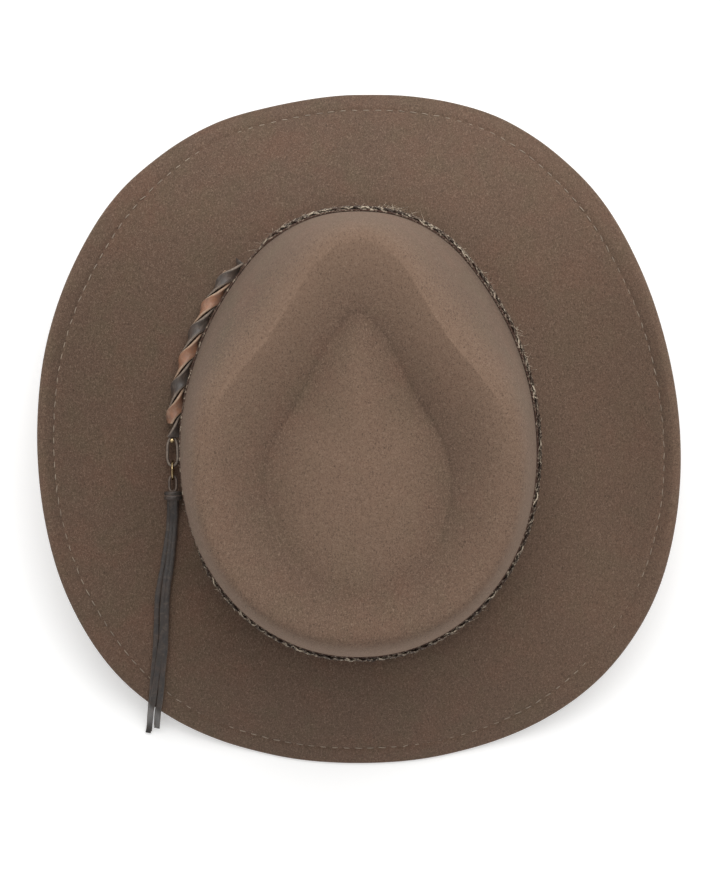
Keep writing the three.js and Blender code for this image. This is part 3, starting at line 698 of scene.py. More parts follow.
def tubes(paths, radius, sides, closed=False):
    """Round tubes along many paths at once, with flat ends unless they are closed. Paths are indexed by
    tube and step. Each step's ring stands across the path."""
    if closed:
        ways = np.roll(paths, -1, axis=1) - np.roll(paths, 1, axis=1)
    else:
        ways = np.gradient(paths, axis=1)
    ways /= np.linalg.norm(ways, axis=-1, keepdims=True)
    side = np.cross(ways, UP)
    side /= np.maximum(np.linalg.norm(side, axis=-1, keepdims=True), 1e-9)
    over = np.cross(side, ways)
    turn = np.arange(sides) / sides * 2 * np.pi
    radius = np.broadcast_to(radius, paths.shape[:2])[..., None, None]
    ring = side[:, :, None] * np.cos(turn)[:, None] + over[:, :, None] * np.sin(turn)[:, None]
    points = paths[:, :, None] + radius * ring
    count, steps = paths.shape[:2]
    quads = grid_faces(steps, sides, loop_rows=closed)
    if not closed:
        first = np.array([(0, k + 2, k + 1, k) for k in range(1, sides - 1, 2)])
        quads = np.concatenate((quads, first, first[:, ::-1] + (steps - 1) * sides))
    all_quads = (quads[None] + (np.arange(count) * steps * sides)[:, None, None]).reshape(-1, 4)
    return points.reshape(-1, 3), all_quads


def stitch_material():
    """Twisted beige thread, a little soiled."""
    material, tree, shader = new_material("beige_thread", {"Roughness": 0.8, "Sheen Weight": 0.2})
    where = object_place(tree)
    fibres = add_group(tree, MATTED_FIBRES, {"Vector": where, "Scale": 2600.0})
    soiled = between(tree, noise(tree, where, 60.0), 0.4, 0.65)
    dulled = mix_colour(tree, soiled, THREAD_COLOUR, THREAD_SOILED)
    shade = mix_colour(tree, multiply(tree, fibres.outputs["Dark"], 0.5), dulled, FELT_DARK_FIBRE)
    tree.links.new(shade, shader.inputs["Base Color"])
    tree.links.new(bump(tree, fibres.outputs["Height"], 0.0001, 0.4), shader.inputs["Normal"])
    return material


def stitch_row():
    """Short bowed threads at equal steps round the brim: each dips into the felt at both its ends."""
    inside = lambda section: section.edge - STITCH_INSET / brim_shape(section).steep(section.edge)
    _, around = even_turns(inside, 4)
    count = round(around / STITCH_PITCH)
    turns, _ = even_turns(inside, count)
    random = np.random.default_rng(4)
    reach = (STITCH_LENGTH / around) * count * random.uniform(0.85, 1.1, count)
    steps = np.linspace(-0.5, 0.5, 7)
    step_turn = np.gradient(np.unwrap(np.radians(turns)))
    spread = np.degrees(step_turn)[:, None] * reach[:, None] * steps
    section = section_at(turns[:, None] + spread)
    brim = brim_shape(section)
    skew = random.normal(0, THREAD_SKEW, (count, 1)) * steps * 2
    distance = inside(section) + skew
    bow = 1 - (2 * steps) ** 4
    inward = (section.edge - distance) * brim.steep(section.edge)
    upper = brim.top(distance) + hem_relief(inward) + THREAD * (0.75 * bow - 0.35)
    lower = brim.top(distance) - HEM_THICKNESS * brim.steep(distance)
    lower = np.maximum(lower - THREAD * (0.55 * bow - 0.35) + 0.0001, THREAD)
    paths = np.concatenate((place(section, distance, upper), place(section, distance, lower)))
    radius = THREAD * (0.35 + 0.65 * np.sqrt(np.maximum(0, 1 - (2 * steps) ** 2)))
    points, quads = tubes(paths, radius * 0.7, 6)
    stitches = new_piece("brim_stitches", points, quads[:, ::-1], stitch_material())
    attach(stitches, "root")


stitch_row()

# Braided hair band.
# Five flat strands of dark and pale hair, plaited into a band about twelve millimetres high, which lies
# round the foot of the crown. A thin dark cord runs along its upper edge, and loose hairs stand out.

BAND_HEIGHT = 0.012
BAND_THICKNESS = 0.0024
BAND_PRESSED = 0.0005
BAND_SQUEEZE = 0.35
BAND_FOOT = 0.005
TWIST_FROM = 35.5
TWIST_TO = 82.5
COLLAR_ANGLE = 97.2
GAP = 0.0003
STRANDS_IN_BRAID = 5
HAIRS_IN_STRAND = 5
BRAID_PERIOD = 0.025
HAIR_RADIUS = 0.00034
HAIR_SPACING = 2.05
HAIR_WANDER = 0.00012
BRAID_MARGIN = 0.0014
BRAID_STEPS = 19
CORD_STEP = 0.0008
CORD_TWIST = 0.0032
CORD_PLY = 0.00028
LOOSE_HAIRS = 110
LOOSE_RADIUS = 0.00011
HAIR_DARK = (0.042, 0.026, 0.018, 1)
HAIR_BROWN = (0.085, 0.045, 0.030, 1)
HAIR_PALE = (0.60, 0.50, 0.38, 1)
CORD_COLOUR = (0.085, 0.045, 0.032, 1)


def wall_at(section, height):
    """Distance of the crown's outer wall from the hub line at a height above the brim break."""
    share = (height - BREAK_RADIUS) / (section.crest_z - CROWN_LIFT - BREAK_RADIUS)
    wanted = 1 - np.clip(share, 0, 1) ** WALL_BELLY
    fall = RIDGE_FALL * section.ridge
    out = 1 + 0 * wanted
    for _ in range(4):
        power = section.shoulder
        slope = fall + (1 - fall) * power * out ** (power - 1)
        out = out - (fall * out + (1 - fall) * out ** power - wanted) / slope
    drop = np.clip(BREAK_RADIUS - height, 0, BREAK_RADIUS)
    foot = section.base + BREAK_RADIUS - np.sqrt(BREAK_RADIUS ** 2 - drop ** 2)
    return np.where(share <= 0, foot, mix(section.crest, section.base, out))


def band_thickness(turn):
    """The band's thickness, which the laces and the tassel press down."""
    swell = 12
    pressed = smooth_share(turn, TWIST_FROM - swell, TWIST_FROM - 4)
    pressed = pressed * (1 - smooth_share(turn, COLLAR_ANGLE + swell, COLLAR_ANGLE + 2 * swell))
    return mix(BAND_THICKNESS, BAND_PRESSED, pressed)


def on_band(turn, height, depth):
    """Points on the band: height above its foot, and depth through it as a share of its thickness."""
    section = section_at(turn)
    thickness = band_thickness(turn)
    squeezed = (BAND_THICKNESS - thickness) / (BAND_THICKNESS - BAND_PRESSED)
    level = BAND_FOOT + height * mix(1, BAND_SQUEEZE, squeezed)
    out = wall_at(section, level) + GAP + depth * thickness
    return place(section, out, CROWN_LIFT + level)


def hair_material(name, attribute, dark, pale, brown):
    """Glossy hair: a tone for each hair between dark and pale, with brown in places."""
    material, tree, shader = new_material(name, {"Roughness": 0.55, "Specular IOR Level": 0.3})
    where = object_place(tree)
    tone = read_attribute(tree, attribute)
    flecks = between(tree, noise(tree, where, 600.0, 2.0, 0.6), 0.38, 0.62, -0.8, 0.45)
    share = add(tree, "ShaderNodeMath", {0: tone, 1: flecks}, operation="ADD", use_clamp=True).outputs[0]
    hair = mix_colour(tree, share, dark, pale)
    brownish = between(tree, noise(tree, where, 150.0, 2.0), 0.5, 0.62, 0.0, 0.6)
    tree.links.new(mix_colour(tree, brownish, hair, brown), shader.inputs["Base Color"])
    fibres = add_group(tree, MATTED_FIBRES, {"Vector": where, "Scale": 3200.0})
    tree.links.new(bump(tree, fibres.outputs["Height"], 0.0001, 0.5), shader.inputs["Normal"])
    return material


def braid_paths():
    """Middle lines of every hair of the braid. A strand's height is a cosine round the band, and its
    depth a sine four times as fast, so that it passes over one strand and under the next. Hairs lie
    side by side in it."""
    foot = lambda section: section.base
    _, around = even_turns(foot, 4)
    waves = round(around / BRAID_PERIOD)
    steps = waves * BRAID_STEPS
    turns, _ = even_turns(foot, steps)
    random = np.random.default_rng(11)
    strand, hair = np.meshgrid(np.arange(STRANDS_IN_BRAID), np.arange(HAIRS_IN_STRAND), indexing="ij")
    strand, hair = strand.reshape(-1, 1), hair.reshape(-1, 1)
    along = np.arange(steps)[None, :] / steps * 2 * np.pi
    phase = waves * along + 2 * np.pi * strand / STRANDS_IN_BRAID
    wander = sum(
        random.uniform(0.3, 1.0, strand.shape) * np.sin(
            random.integers(9, 70, strand.shape) * along + random.uniform(0, 6.3, strand.shape)
        )
        for _ in range(3)
    )
    swing = BAND_HEIGHT / 2 - BRAID_MARGIN
    rise = -np.sin(phase) * swing * waves * 2 * np.pi / around
    across = (hair - (HAIRS_IN_STRAND - 1) / 2) * HAIR_SPACING * HAIR_RADIUS + HAIR_WANDER * wander
    upright = across / np.hypot(1, rise)
    sideways = -across * rise / np.hypot(1, rise)
    height = BAND_HEIGHT / 2 + swing * np.cos(phase) + upright
    turn = turns[None, :] + sideways / around * 360
    bulge = 0.12 * (1 - ((hair - 2) / 2.0) ** 2)
    depth = 0.52 + 0.33 * np.sin((STRANDS_IN_BRAID - 1) * phase) + bulge + 0.03 * wander
    tone = random.choice((0.05, 0.12, 0.3, 0.8, 0.95), strand.shape, p=(0.34, 0.2, 0.14, 0.15, 0.17))
    return on_band(turn, np.clip(height, 0.0003, BAND_HEIGHT - 0.0002), depth), tone + 0 * turn


def braided_band():
    """The braid: closed tubes, one for each hair."""
    paths, tone = braid_paths()
    sides = 5
    points, quads = tubes(paths, HAIR_RADIUS, sides, closed=True)
    hair = hair_material("plaited_hair", "tone", HAIR_DARK, HAIR_PALE, HAIR_BROWN)
    braid = new_piece("hair_braid", points, quads[:, ::-1], hair)
    set_attribute(braid, "tone", np.repeat(tone.ravel(), sides))
    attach(braid, "root")
    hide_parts("hatband")


def braid_core():
    """Hairs inside the braid, as one thin dark ring behind the strands."""
    turns = np.linspace(-180, 180, 257)[:-1]
    edge = np.array(((0.1, 0.05), (0.5, 0.05), (0.9, 0.05), (0.93, 0.2), (0.85, 0.34), (0.5, 0.42),
                     (0.15, 0.34), (0.07, 0.2)))
    rings = np.stack([on_band(turns, height * BAND_HEIGHT, depth) for height, depth in edge])
    quads = grid_faces(len(edge), len(turns), loop_rows=True)
    hair = hair_material("core_hair", "none", HAIR_DARK, HAIR_BROWN, HAIR_DARK)
    core = new_piece("braid_core", rings, quads[:, ::-1], hair)
    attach(core, "root")


def edge_cord():
    """Two thin plies twisted together, along the band's upper edge beside the crown."""
    foot = lambda section: section.base
    _, around = even_turns(foot, 4)
    steps = round(around / CORD_STEP)
    turns, _ = even_turns(foot, steps)
    twists = round(around / CORD_TWIST)
    phase = np.arange(steps)[None, :] / steps * 2 * np.pi * twists + np.array(((0.0,), (np.pi,)))
    paths = on_band(turns[None, :] + 0 * phase, BAND_HEIGHT - 0.0002 + CORD_PLY * np.sin(phase), 0.05)
    section = section_at(turns)
    paths = paths + section.out[None] * (CORD_PLY * (1 + np.cos(phase)))[..., None]
    points, quads = tubes(paths, CORD_PLY, 5, closed=True)
    material = hair_material("reddish_cord", "none", CORD_COLOUR, HAIR_PALE, CORD_COLOUR)
    cord = new_piece("band_edge_cord", points, quads[:, ::-1], material)
    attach(cord, "root")


def loose_hairs():
    """Short hairs that have slipped out of the braid: each leaves it at a random turn and bends
    over."""
    random = np.random.default_rng(23)
    even = random.uniform(-180, 180, LOOSE_HAIRS)
    tufts = ((-9, 1.6, 16), (-14, 2.5, 10), (-55, 2.0, 16), (-63, 2.5, 10), (-40, 3.0, 8), (30, 4.0, 14))
    clumps = [random.normal(turn, spread, count) for turn, spread, count in tufts]
    turns = np.concatenate([even] + clumps)
    count = len(turns)
    steps = np.linspace(0, 1, 9)
    length = random.uniform(0.0012, 0.0032, count)
    length[len(even):] *= 1.5
    height = random.uniform(0.35, 1.0, count)[:, None] * BAND_HEIGHT
    start = on_band(turns[:, None] + 0 * steps, height + 0 * steps, 0.75 + 0 * steps)
    section = section_at(turns)
    tangent = np.cross(section.out, UP)
    lean = random.normal(0, 1.1, count)[:, None]
    way = section.out + tangent * lean + UP * random.uniform(-0.2, 0.9, count)[:, None]
    way /= np.linalg.norm(way, axis=1, keepdims=True)
    curl = tangent * random.normal(0, 0.5, count)[:, None] - UP * random.uniform(0.0, 0.5, count)[:, None]
    reach = length[:, None] * steps
    paths = start + way[:, None] * reach[..., None] + curl[:, None] * (reach * steps)[..., None]
    radius = LOOSE_RADIUS * (1 - 0.6 * steps)[None, :] + 0 * reach
    points, quads = tubes(paths, radius, 4)
    tone = np.where(random.uniform(0, 1, count) < 0.55, 0.9, 0.1)
    hairs = new_piece("loose_hairs", points, quads[:, ::-1], bpy.data.materials["plaited_hair"])
    set_attribute(hairs, "tone", np.repeat(tone, len(steps) * 4))
    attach(hairs, "root")


braided_band()
braid_core()
edge_cord()
loose_hairs()

# Twisted laces and their eye.
# A dark and a tan flat lace, cut from leather with pale raw edges, twisted round each other along the
# wearer's left of the band. Behind the twist the dark one ends in an eye with a small rivet on its neck.

LACE_WIDTH = 0.0064
LACE_THICKNESS = 0.0015
LACE_CUP = 0.0009
TWIST_PITCH = 0.027
TWIST_PHASE = 0.010
TWIST_SEAT = 0.007
TAN_START = 0.085
TAN_SHARE = 0.93
LACE_SWING = 0.0006
EYE_LENGTH = 0.0155
EYE_WIDTH = 0.0062
EYE_THICKNESS = 0.0013
EYE_HEIGHT = 0.004
EYE_OVERLAP = 0.0015
EYE_NECK = 0.45
DARK_LEATHER = (0.064, 0.050, 0.042, 1)
DARK_WARM = (0.085, 0.055, 0.042, 1)
DARK_COOL = (0.050, 0.045, 0.041, 1)
DARK_EDGE = (0.24, 0.19, 0.15, 1)
TAN_LEATHER = (0.250, 0.125, 0.075, 1)
TAN_WARM = (0.31, 0.14, 0.075, 1)
TAN_COOL = (0.19, 0.115, 0.085, 1)
TAN_EDGE = (0.42, 0.30, 0.21, 1)


def twist_path(steps):
    """The twist's middle line, beside the band from its braid to the eye."""
    away = GAP + BAND_PRESSED + GAP + LACE_WIDTH / 2
    section = section_at(np.linspace(TWIST_FROM, TWIST_TO, steps + 1))
    return place(section, section.base + away, CROWN_LIFT + TWIST_SEAT + 0 * section.base)


def unit(vectors):
    """Vectors scaled to length one."""
    return vectors / np.linalg.norm(vectors, axis=-1, keepdims=True)


def strap_section(points):
    """Outline of a flat strap as share across, from -1 to 1, and share of its thickness, from 0 to 1:
    an oval with flattened sides. The last value says how near each point is to the cut edge."""
    turn = np.arange(points) / points * 2 * np.pi
    across = np.sign(np.cos(turn)) * np.abs(np.cos(turn)) ** 0.35
    depth = 0.5 + 0.5 * np.sign(np.sin(turn)) * np.abs(np.sin(turn)) ** 0.5
    edge = np.clip((np.abs(np.cos(turn)) - 0.75) / 0.2, 0, 1)
    return across, depth, edge


def twisted_lace(half_turns, share, steps=420, points=28):
    """A flat lace that turns once each pitch round the twist's middle line and bows away from the other
    lace."""
    path = twist_path(steps)
    travelled = length_along(path)
    kept = slice(round(steps * TAN_START * half_turns), round(len(path) * share))
    path, travelled = path[kept], travelled[kept]
    way = unit(np.gradient(path, axis=0))
    roll = 2 * np.pi * (travelled - TWIST_PHASE) / TWIST_PITCH + np.pi * half_turns
    flat = unit(np.cross(way, UP))
    upright = np.cross(flat, way)
    face = upright * np.cos(roll)[:, None] + flat * np.sin(roll)[:, None]
    wide = np.cross(way, face)
    swing = LACE_SWING * np.sin(2 * (roll - np.pi * half_turns))[:, None]
    across, depth, edge = strap_section(points)
    uneven = 1 + 0.03 * np.sin(travelled * 900 + half_turns)
    uneven = uneven + 0.03 * np.sin(travelled * 410 + 2 * half_turns)
    width = across[None, :] * LACE_WIDTH / 2 * uneven[:, None]
    bow = GAP / 2 + LACE_CUP * (1 - across ** 2) + depth * LACE_THICKNESS
    rings = (path + flat * swing)[:, None] + wide[:, None] * width[..., None]
    rings = rings + face[:, None] * bow[None, :, None]
    return rings, np.broadcast_to(edge, rings.shape[:2])


def closed_ends(rings):
    """Faces of a tube of rings, with a fan over each end. Gives points, quads and triangles."""
    rows, columns = rings.shape[:2]
    ends = np.stack((rings[0].mean(axis=0), rings[-1].mean(axis=0)))
    points = np.concatenate((rings.reshape(-1, 3), ends))
    first = fan(rows * columns, 0, columns, False)
    last = fan(rows * columns + 1, (rows - 1) * columns, columns, True)
    return points, grid_faces(rows, columns)[:, ::-1], np.concatenate((first, last))


def link_line():
    """Places of the eye, the ring, the tassel's loop and its collar, which follow each other behind the
    twist."""
    end = twist_path(44)[-1]
    section = section_at(np.array(COLLAR_ANGLE))
    beside = section.base + GAP + BAND_PRESSED + GAP + COLLAR_WIDTH / 2 + COLLAR_SLACK
    way = unit(place(section, beside, end[2]) - end)
    ring_radius = (RING_DIAMETER - RING_WIRE) / 2
    start = np.array((end[0], end[1], CROWN_LIFT + TWIST_SEAT - LACE_THICKNESS / 3))
    eye = start + way * (EYE_LENGTH / 2 - EYE_OVERLAP)
    hole = RING_PLAY * (ring_radius - RING_WIRE / 2)
    threaded = lambda height: math.sqrt(hole ** 2 - (height / 2 + GAP) ** 2)
    ring = eye + way * (EYE_LENGTH / 2 - EYE_THICKNESS + threaded(EYE_HEIGHT))
    loop = ring + way * (LOOP_LENGTH / 2 - LOOP_THICKNESS + threaded(LOOP_HEIGHT))
    collar = loop + way * (LOOP_LENGTH / 2 + COLLAR_LENGTH / 2 - COLLAR_OVERLAP)
    return SimpleNamespace(way=way, eye=eye, ring=ring, ring_radius=ring_radius, loop=loop, collar=collar)


def standing_loop(centre, length, width, thickness, height, neck):
    """A strap on edge, bent into a long closed loop that narrows to a neck at its first end. Gives points,
    quads, no triangles and the cut edge's share of each point."""
    steps, points = 96, 16
    way = LINKS.way
    flat = unit(np.cross(way, UP))
    turn = np.arange(steps) / steps * 2 * np.pi
    pinch = mix(neck, 1, smooth_share(np.cos(turn), -1.0, 0.2))
    along = np.sign(np.cos(turn)) * (length - width) / 2 * np.abs(np.cos(turn)) ** 0.3
    along = along + (width - thickness) / 2 * np.cos(turn)
    line = way * along[:, None] + flat * ((width - thickness) / 2 * np.sin(turn) * pinch)[:, None]
    ahead = unit(np.roll(line, -1, axis=0) - np.roll(line, 1, axis=0))
    outward = np.cross(ahead, UP)
    across, depth, edge = strap_section(points)
    rings = centre + line[:, None] + outward[:, None] * ((depth - 0.5) * thickness)[None, :, None]
    rings = rings + UP * (across * height / 2)[None, :, None]
    quads = grid_faces(steps, points, loop_rows=True)
    return rings.reshape(-1, 3), quads, NO_TRIANGLES, np.tile(edge, steps)


def join(parts):
    """Several meshes as one. Each part is points, quads, triangles and one value for each point."""
    lists = ([], [], [], [])
    count = 0
    for points, quads, triangles, values in parts:
        for kept, found in zip(lists, (points, quads + count, triangles + count, values)):
            kept.append(found)
        count += len(points)
    return [np.concatenate(kept) for kept in lists]


RING_DIAMETER = 0.0096
RING_WIRE = 0.0011
RING_PLAY = 0.97
LOOP_LENGTH = 0.0085
LOOP_WIDTH = 0.0044
LOOP_THICKNESS = 0.0011
LOOP_HEIGHT = 0.003
COLLAR_LENGTH = 0.0044
COLLAR_WIDTH = 0.0084
COLLAR_HEIGHT = 0.0052
COLLAR_OVERLAP = 0.0008
COLLAR_SLACK = 0.0003

LINKS = link_line()


def hide_grain_group():
    """Leather's surface: small pebbles from cells and long soft creases."""
    tree, given, result = new_group(
        "hide_grain",
        (("Vector", "NodeSocketVector", None), ("Scale", "NodeSocketFloat", 1500.0)),
        (("Height", "NodeSocketFloat"), ("Wear", "NodeSocketFloat")),
    )
    size = grown(tree, given["Vector"], given["Scale"])
    cells = add(tree, "ShaderNodeTexVoronoi", {"Vector": size, "Scale": 1.0}).outputs["Distance"]
    creases = noise(tree, scaled(tree, size, (0.25, 0.25, 0.25)), 1.0, 4.0, 0.65, 0.8)
    height = math_node(tree, "ADD", multiply(tree, cells, 0.6), creases)
    tree.links.new(height, result["Height"])
    tree.links.new(between(tree, creases, 0.5, 0.72), result["Wear"])
    return tree


def raw_edge_group():
    """A pale fibrous cut edge: the edge colour where the mask is high, broken up by fine noise."""
    tree, given, result = new_group(
        "raw_edge",
        (
            ("Vector", "NodeSocketVector", None),
            ("Mask", "NodeSocketFloat", 0.0),
            ("Colour", "NodeSocketColor", None),
            ("Edge", "NodeSocketColor", None),
        ),
        (("Colour", "NodeSocketColor"),),
    )
    ragged = between(tree, noise(tree, given["Vector"], 900.0, 3.0, 0.6), 0.25, 0.75, 0.35, 1.25)
    inputs = {0: given["Mask"], 1: ragged}
    share = add(tree, "ShaderNodeMath", inputs, operation="MULTIPLY", use_clamp=True).outputs[0]
    tree.links.new(mix_colour(tree, share, given["Colour"], given["Edge"]), result["Colour"])
    return tree


HIDE_GRAIN = hide_grain_group()
RAW_EDGE = raw_edge_group()


def leather_material(name, colour, warm, cool, edge, rough):
    """Thin lace leather: uneven dye, worn paler on its creases, with a raw edge where the attribute
    says so."""
    material, tree, shader = new_material(name, {"Roughness": rough, "Specular IOR Level": 0.45})
    where = object_place(tree)
    dye = dyed(tree, where, 170.0, (colour, warm, cool), 0.8)
    grain = add_group(tree, HIDE_GRAIN, {"Vector": where, "Scale": 1700.0})
    worn = mix_colour(tree, multiply(tree, grain.outputs["Wear"], 0.35), dye, edge)
    mask = read_attribute(tree, "edge")
    cut = add_group(tree, RAW_EDGE, {"Vector": where, "Mask": mask, "Colour": worn, "Edge": edge})
    tree.links.new(cut.outputs["Colour"], shader.inputs["Base Color"])
    rougher = math_node(tree, "ADD", multiply(tree, mask, 0.25),
                        between(tree, grain.outputs["Wear"], 0.0, 1.0, rough, rough + 0.15))
    tree.links.new(rougher, shader.inputs["Roughness"])
    tree.links.new(bump(tree, grain.outputs["Height"], 0.00022, 0.5), shader.inputs["Normal"])
    return material


DARK_FINISH = leather_material("dark_lace_leather", DARK_LEATHER, DARK_WARM, DARK_COOL, DARK_EDGE, 0.42)
TAN_FINISH = leather_material("tan_lace_leather", TAN_LEATHER, TAN_WARM, TAN_COOL, TAN_EDGE, 0.45)


def lace_pieces():
    """Both laces of the twist, the dark one with its eye."""
    rings, edge = twisted_lace(0, 1.0)
    points, quads, triangles = closed_ends(rings)
    dark = (points, quads, triangles, np.append(edge.ravel(), (0, 0)))
    eye = standing_loop(LINKS.eye, EYE_LENGTH, EYE_WIDTH, EYE_THICKNESS, EYE_HEIGHT, EYE_NECK)
    points, quads, triangles, edge = join((dark, eye))
    lace = new_piece("dark_twisted_lace", points, quads, DARK_FINISH, triangles)
    set_attribute(lace, "edge", edge)
    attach(lace, "root")
    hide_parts("dark_lace")
    rings, edge = twisted_lace(1, TAN_SHARE)
    points, quads, triangles = closed_ends(rings)
    lace = new_piece("tan_twisted_lace", points, quads, TAN_FINISH, triangles)
    set_attribute(lace, "edge", np.append(edge.ravel(), (0, 0)))
    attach(lace, "root")
    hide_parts("tan_lace")


lace_pieces()

# Rivet and ring.
# Both are brass: a small domed rivet on the eye's neck, and a plain wire ring, butted shut, that stands
# on edge and links the eye to the tassel.

RIVET_DIAMETER = 0.0024
RIVET_HEIGHT = 0.001
RIVET_BACK = 0.3
BRASS = (0.62, 0.47, 0.25, 1)
BRASS_DULL = (0.28, 0.20, 0.11, 1)


def brass_material():
    """Handled brass: bright where it is worn, browner in between."""
    material, tree, shader = new_material("handled_brass", {"Metallic": 1.0, "Roughness": 0.25})
    where = object_place(tree)
    spots = noise(tree, where, 700.0, 4.0, 0.6)
    colour = mix_colour(tree, between(tree, spots, 0.42, 0.62), BRASS, BRASS_DULL)
    tree.links.new(colour, shader.inputs["Base Color"])
    tree.links.new(between(tree, spots, 0.35, 0.7, 0.18, 0.45), shader.inputs["Roughness"])
    tree.links.new(bump(tree, noise(tree, where, 2200.0, 2.0), 0.00003, 0.3), shader.inputs["Normal"])
    return material


def ring_and_rivet():
    """The ring is a torus in the upright plane along the link line. The rivet is a turned dome whose
    foot lies on the eye's neck."""
    brass = brass_material()
    way, side = LINKS.way, unit(np.cross(LINKS.way, UP))
    turn = np.linspace(0, 2 * np.pi, 97)[:-1]
    spoke = way * np.cos(turn)[:, None] + UP * np.sin(turn)[:, None]
    wire = np.linspace(0, 2 * np.pi, 21)[:-1]
    reach = LINKS.ring_radius + RING_WIRE / 2 * np.cos(wire)
    rings = LINKS.ring + spoke[:, None] * reach[None, :, None]
    rings = rings + side * (RING_WIRE / 2 * np.sin(wire))[None, :, None]
    ring = new_piece("wire_ring", rings, grid_faces(96, 20, loop_rows=True)[:, ::-1], brass)
    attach(ring, "root")
    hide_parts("ring")
    seat = LINKS.eye - way * EYE_LENGTH * RIVET_BACK + UP * (EYE_HEIGHT / 2 + GAP)
    level = np.linspace(0, np.pi / 2, 9)[:-1]
    out = np.concatenate(([1.0], np.cos(level) ** 0.6)) * RIVET_DIAMETER / 2
    up = np.concatenate(([-0.00005], np.sin(level))) * RIVET_HEIGHT
    round_about = np.linspace(0, 2 * np.pi, 33)[:-1]
    spokes = way * np.cos(round_about)[:, None] + side * np.sin(round_about)[:, None]
    rings = seat + spokes[None] * out[:, None, None] + UP * up[:, None, None]
    points, quads, triangles = closed_ends(rings)
    head = new_piece("rivet_head", points, quads, brass, triangles)
    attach(head, "root")
    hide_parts("rivet")


ring_and_rivet()

# Tassel.
# Four narrow strips of the dark leather, gathered through a short collar of wound leather and hung from
# the ring by a loop. They lie on the brim, cross its edge and end beyond it, cut off straight.

STRAND_WIDTH = 0.0027
STRAND_THICKNESS = 0.0013
STRAND_SEAT = 0.0007
STRAND_LAP = 0.8
STRAND_BOW = 0.0002
TASSEL_DROP = 0.013
TASSEL_LEATHER = (0.036, 0.029, 0.025, 1)
TASSEL_WARM = (0.060, 0.042, 0.034, 1)
TASSEL_COOL = (0.030, 0.027, 0.026, 1)
TASSEL_EDGE = (0.17, 0.125, 0.098, 1)

# The way over the brim: section angle, and share of the brim's run from the break.
TASSEL_ROUTE = ((104, 0.14), (111, 0.24), (118, 0.4), (124.8, 0.58), (130, 0.8), (133, 0.97),
                (134.5, 1.08), (136, 1.2))
# Shift across the route at the collar, halfway and at the tip, in strand widths. Then the layer, and the
# length as a share.
STRANDS = ((-0.5, -0.95, -0.72, 0, 1.0), (0.5, 0.62, 0.56, 0, 0.965), (-0.05, 0.1, -0.62, 1, 0.99),
           (0.4, 0.72, 0.74, 1, 0.975))


def smooth_curve(points, steps):
    """Even steps along the centripetal curve through a list of points, its ends mirrored for their
    slopes."""
    points = np.asarray(points, float)
    whole = np.concatenate(([2 * points[0] - points[1]], points, [2 * points[-1] - points[-2]]))
    pieces = []
    for p0, p1, p2, p3 in zip(whole[:-3], whole[1:-2], whole[2:-1], whole[3:]):
        d0, d1, d2 = (np.linalg.norm(b - a) ** 0.5 for a, b in ((p0, p1), (p1, p2), (p2, p3)))
        slope1 = ((p1 - p0) / d0 - (p2 - p0) / (d0 + d1) + (p2 - p1) / d1) * d1
        slope2 = ((p2 - p1) / d1 - (p3 - p1) / (d1 + d2) + (p3 - p2) / d2) * d1
        t = np.linspace(0, 1, 60)[:-1, None]
        start = (2 * t ** 3 - 3 * t ** 2 + 1) * p1 + (t ** 3 - 2 * t ** 2 + t) * slope1
        pieces.append(start + (3 * t ** 2 - 2 * t ** 3) * p2 + (t ** 3 - t ** 2) * slope2)
    line = np.concatenate(pieces + [points[-1:]])
    travelled = length_along(line)
    even = np.linspace(0, travelled[-1], steps + 1)
    return np.stack([np.interp(even, travelled, line[:, axis]) for axis in range(3)], axis=-1)


def underneath(points):
    """Height of what lies under points beside the crown: the brim's upper face, and past its edge a
    slope down to the surface that the hat rests on."""
    turn = np.degrees(np.arctan2(points[..., 0] / HALF_WIDTH, (HUB_Y - points[..., 1]) / HALF_LENGTH))
    section = section_at(turn)
    brim = brim_shape(section)
    distance = np.hypot(points[..., 0], points[..., 1] - HUB_Y)
    past = np.clip((distance - section.edge + brim.nose / 2) / TASSEL_DROP, 0, 1)
    return brim.top(distance) * (1 - ease(past))


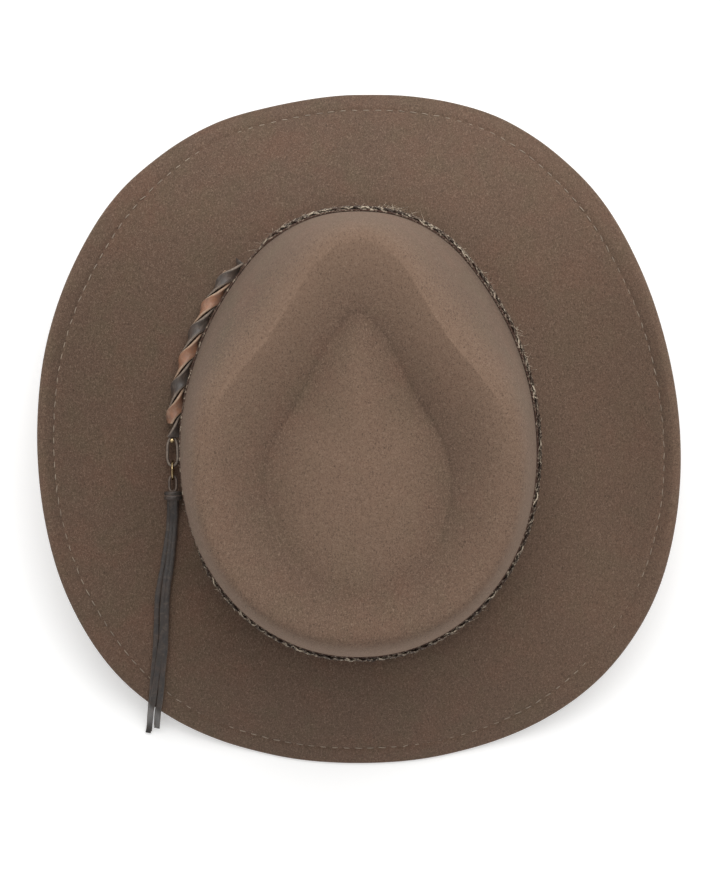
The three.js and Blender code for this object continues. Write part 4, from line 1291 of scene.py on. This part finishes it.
def tassel_strand(shifts, layer, length, steps=220, points=18):
    """A flat strip along the tassel's line, shifted across it, that comes down from the collar to the felt
    and lies there with both its edges. Its top bows a little."""
    route = []
    for angle, run in TASSEL_ROUTE:
        section = section_at(np.array(float(angle)))
        route.append(place(section, mix(section.base, section.edge, run), np.array(0.0)))
    start = LINKS.collar * (1, 1, 0)
    path = smooth_curve([start] + route, steps)[: round(steps * length) + 1]
    way = unit(np.gradient(path, axis=0))
    flat = unit(np.cross(UP, way))
    t = np.arange(len(path)) / steps
    at_collar, at_middle, at_tip = shifts
    half = mix(at_collar, at_middle, ease(np.minimum(1, 2 * t)))
    shift = mix(half, at_tip, ease(np.maximum(0, 2 * t - 1))) * STRAND_WIDTH
    across, depth, edge = strap_section(points)
    uneven = 1 + 0.05 * np.sin(37 * t + 9 * layer + at_tip) + 0.04 * np.sin(83 * t + at_middle)
    width = STRAND_WIDTH / 2 * uneven
    rings = path[:, None] + flat[:, None] * (shift[:, None] + width[:, None] * across)[..., None]
    leaving = np.clip(t * 26 / 3, 0, 1)[:, None]
    lying = underneath(rings) + STRAND_SEAT + layer * STRAND_THICKNESS * STRAND_LAP
    held = LINKS.collar[2] + (layer - 0.9) * STRAND_THICKNESS
    bow = (1 - across ** 2) * STRAND_BOW * (0.5 + depth)
    rings[..., 2] = mix(held, lying, ease(leaving)) + depth * STRAND_THICKNESS * STRAND_LAP + bow
    return rings, np.broadcast_to(edge, rings.shape[:2])


def tassel_piece():
    """Loop and strands of the tassel as one mesh, and its collar as a mesh of its own."""
    parts = []
    for *shifts, layer, length in STRANDS:
        rings, edge = tassel_strand(shifts, layer, length)
        points, quads, triangles = closed_ends(rings)
        parts.append((points, quads[:, ::-1], triangles[:, ::-1], np.append(edge.ravel(), (1, 1))))
    parts.append(standing_loop(LINKS.loop, LOOP_LENGTH, LOOP_WIDTH, LOOP_THICKNESS, LOOP_HEIGHT, 1.0))
    points, quads, triangles, values = join(parts)
    colours = (TASSEL_LEATHER, TASSEL_WARM, TASSEL_COOL, TASSEL_EDGE)
    finish = leather_material("tassel_leather", *colours, 0.4)
    tassel = new_piece("tassel_strands", points, quads, finish, triangles)
    set_attribute(tassel, "edge", values)
    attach(tassel, "root")
    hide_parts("tassel")
    collar = tassel_collar()
    piece = new_piece("tassel_collar", *collar[:2], finish, collar[2])
    set_attribute(piece, "edge", collar[3])
    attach(piece, "root")


def tassel_collar():
    """A sleeve wound from one narrow lace: an oval tube whose side swells twice along its length."""
    flat = unit(np.cross(LINKS.way, UP))
    along = np.linspace(-0.5, 0.5, 41)
    turn = np.linspace(0, 2 * np.pi, 49)[:-1]
    windings = np.sqrt(np.abs(np.sin(2 * np.pi * (along + 0.5))))
    swell = 0.86 + 0.14 * windings - 0.35 * np.abs(2 * along) ** 12
    wide = COLLAR_WIDTH / 2 * swell[:, None] * np.cos(turn)
    high = COLLAR_HEIGHT / 2 * swell[:, None] * np.sin(turn)
    rings = LINKS.collar + LINKS.way * (along * COLLAR_LENGTH)[:, None, None]
    rings = rings + flat * wide[..., None] + UP * high[..., None]
    points, quads, triangles = closed_ends(rings)
    edge = np.exp(-((np.abs(along) / 0.05) ** 2)) + np.clip((np.abs(along) - 0.44) / 0.06, 0, 1)
    return points, quads, triangles, np.append(np.repeat(edge, len(turn)), (0, 0))


tassel_piece()
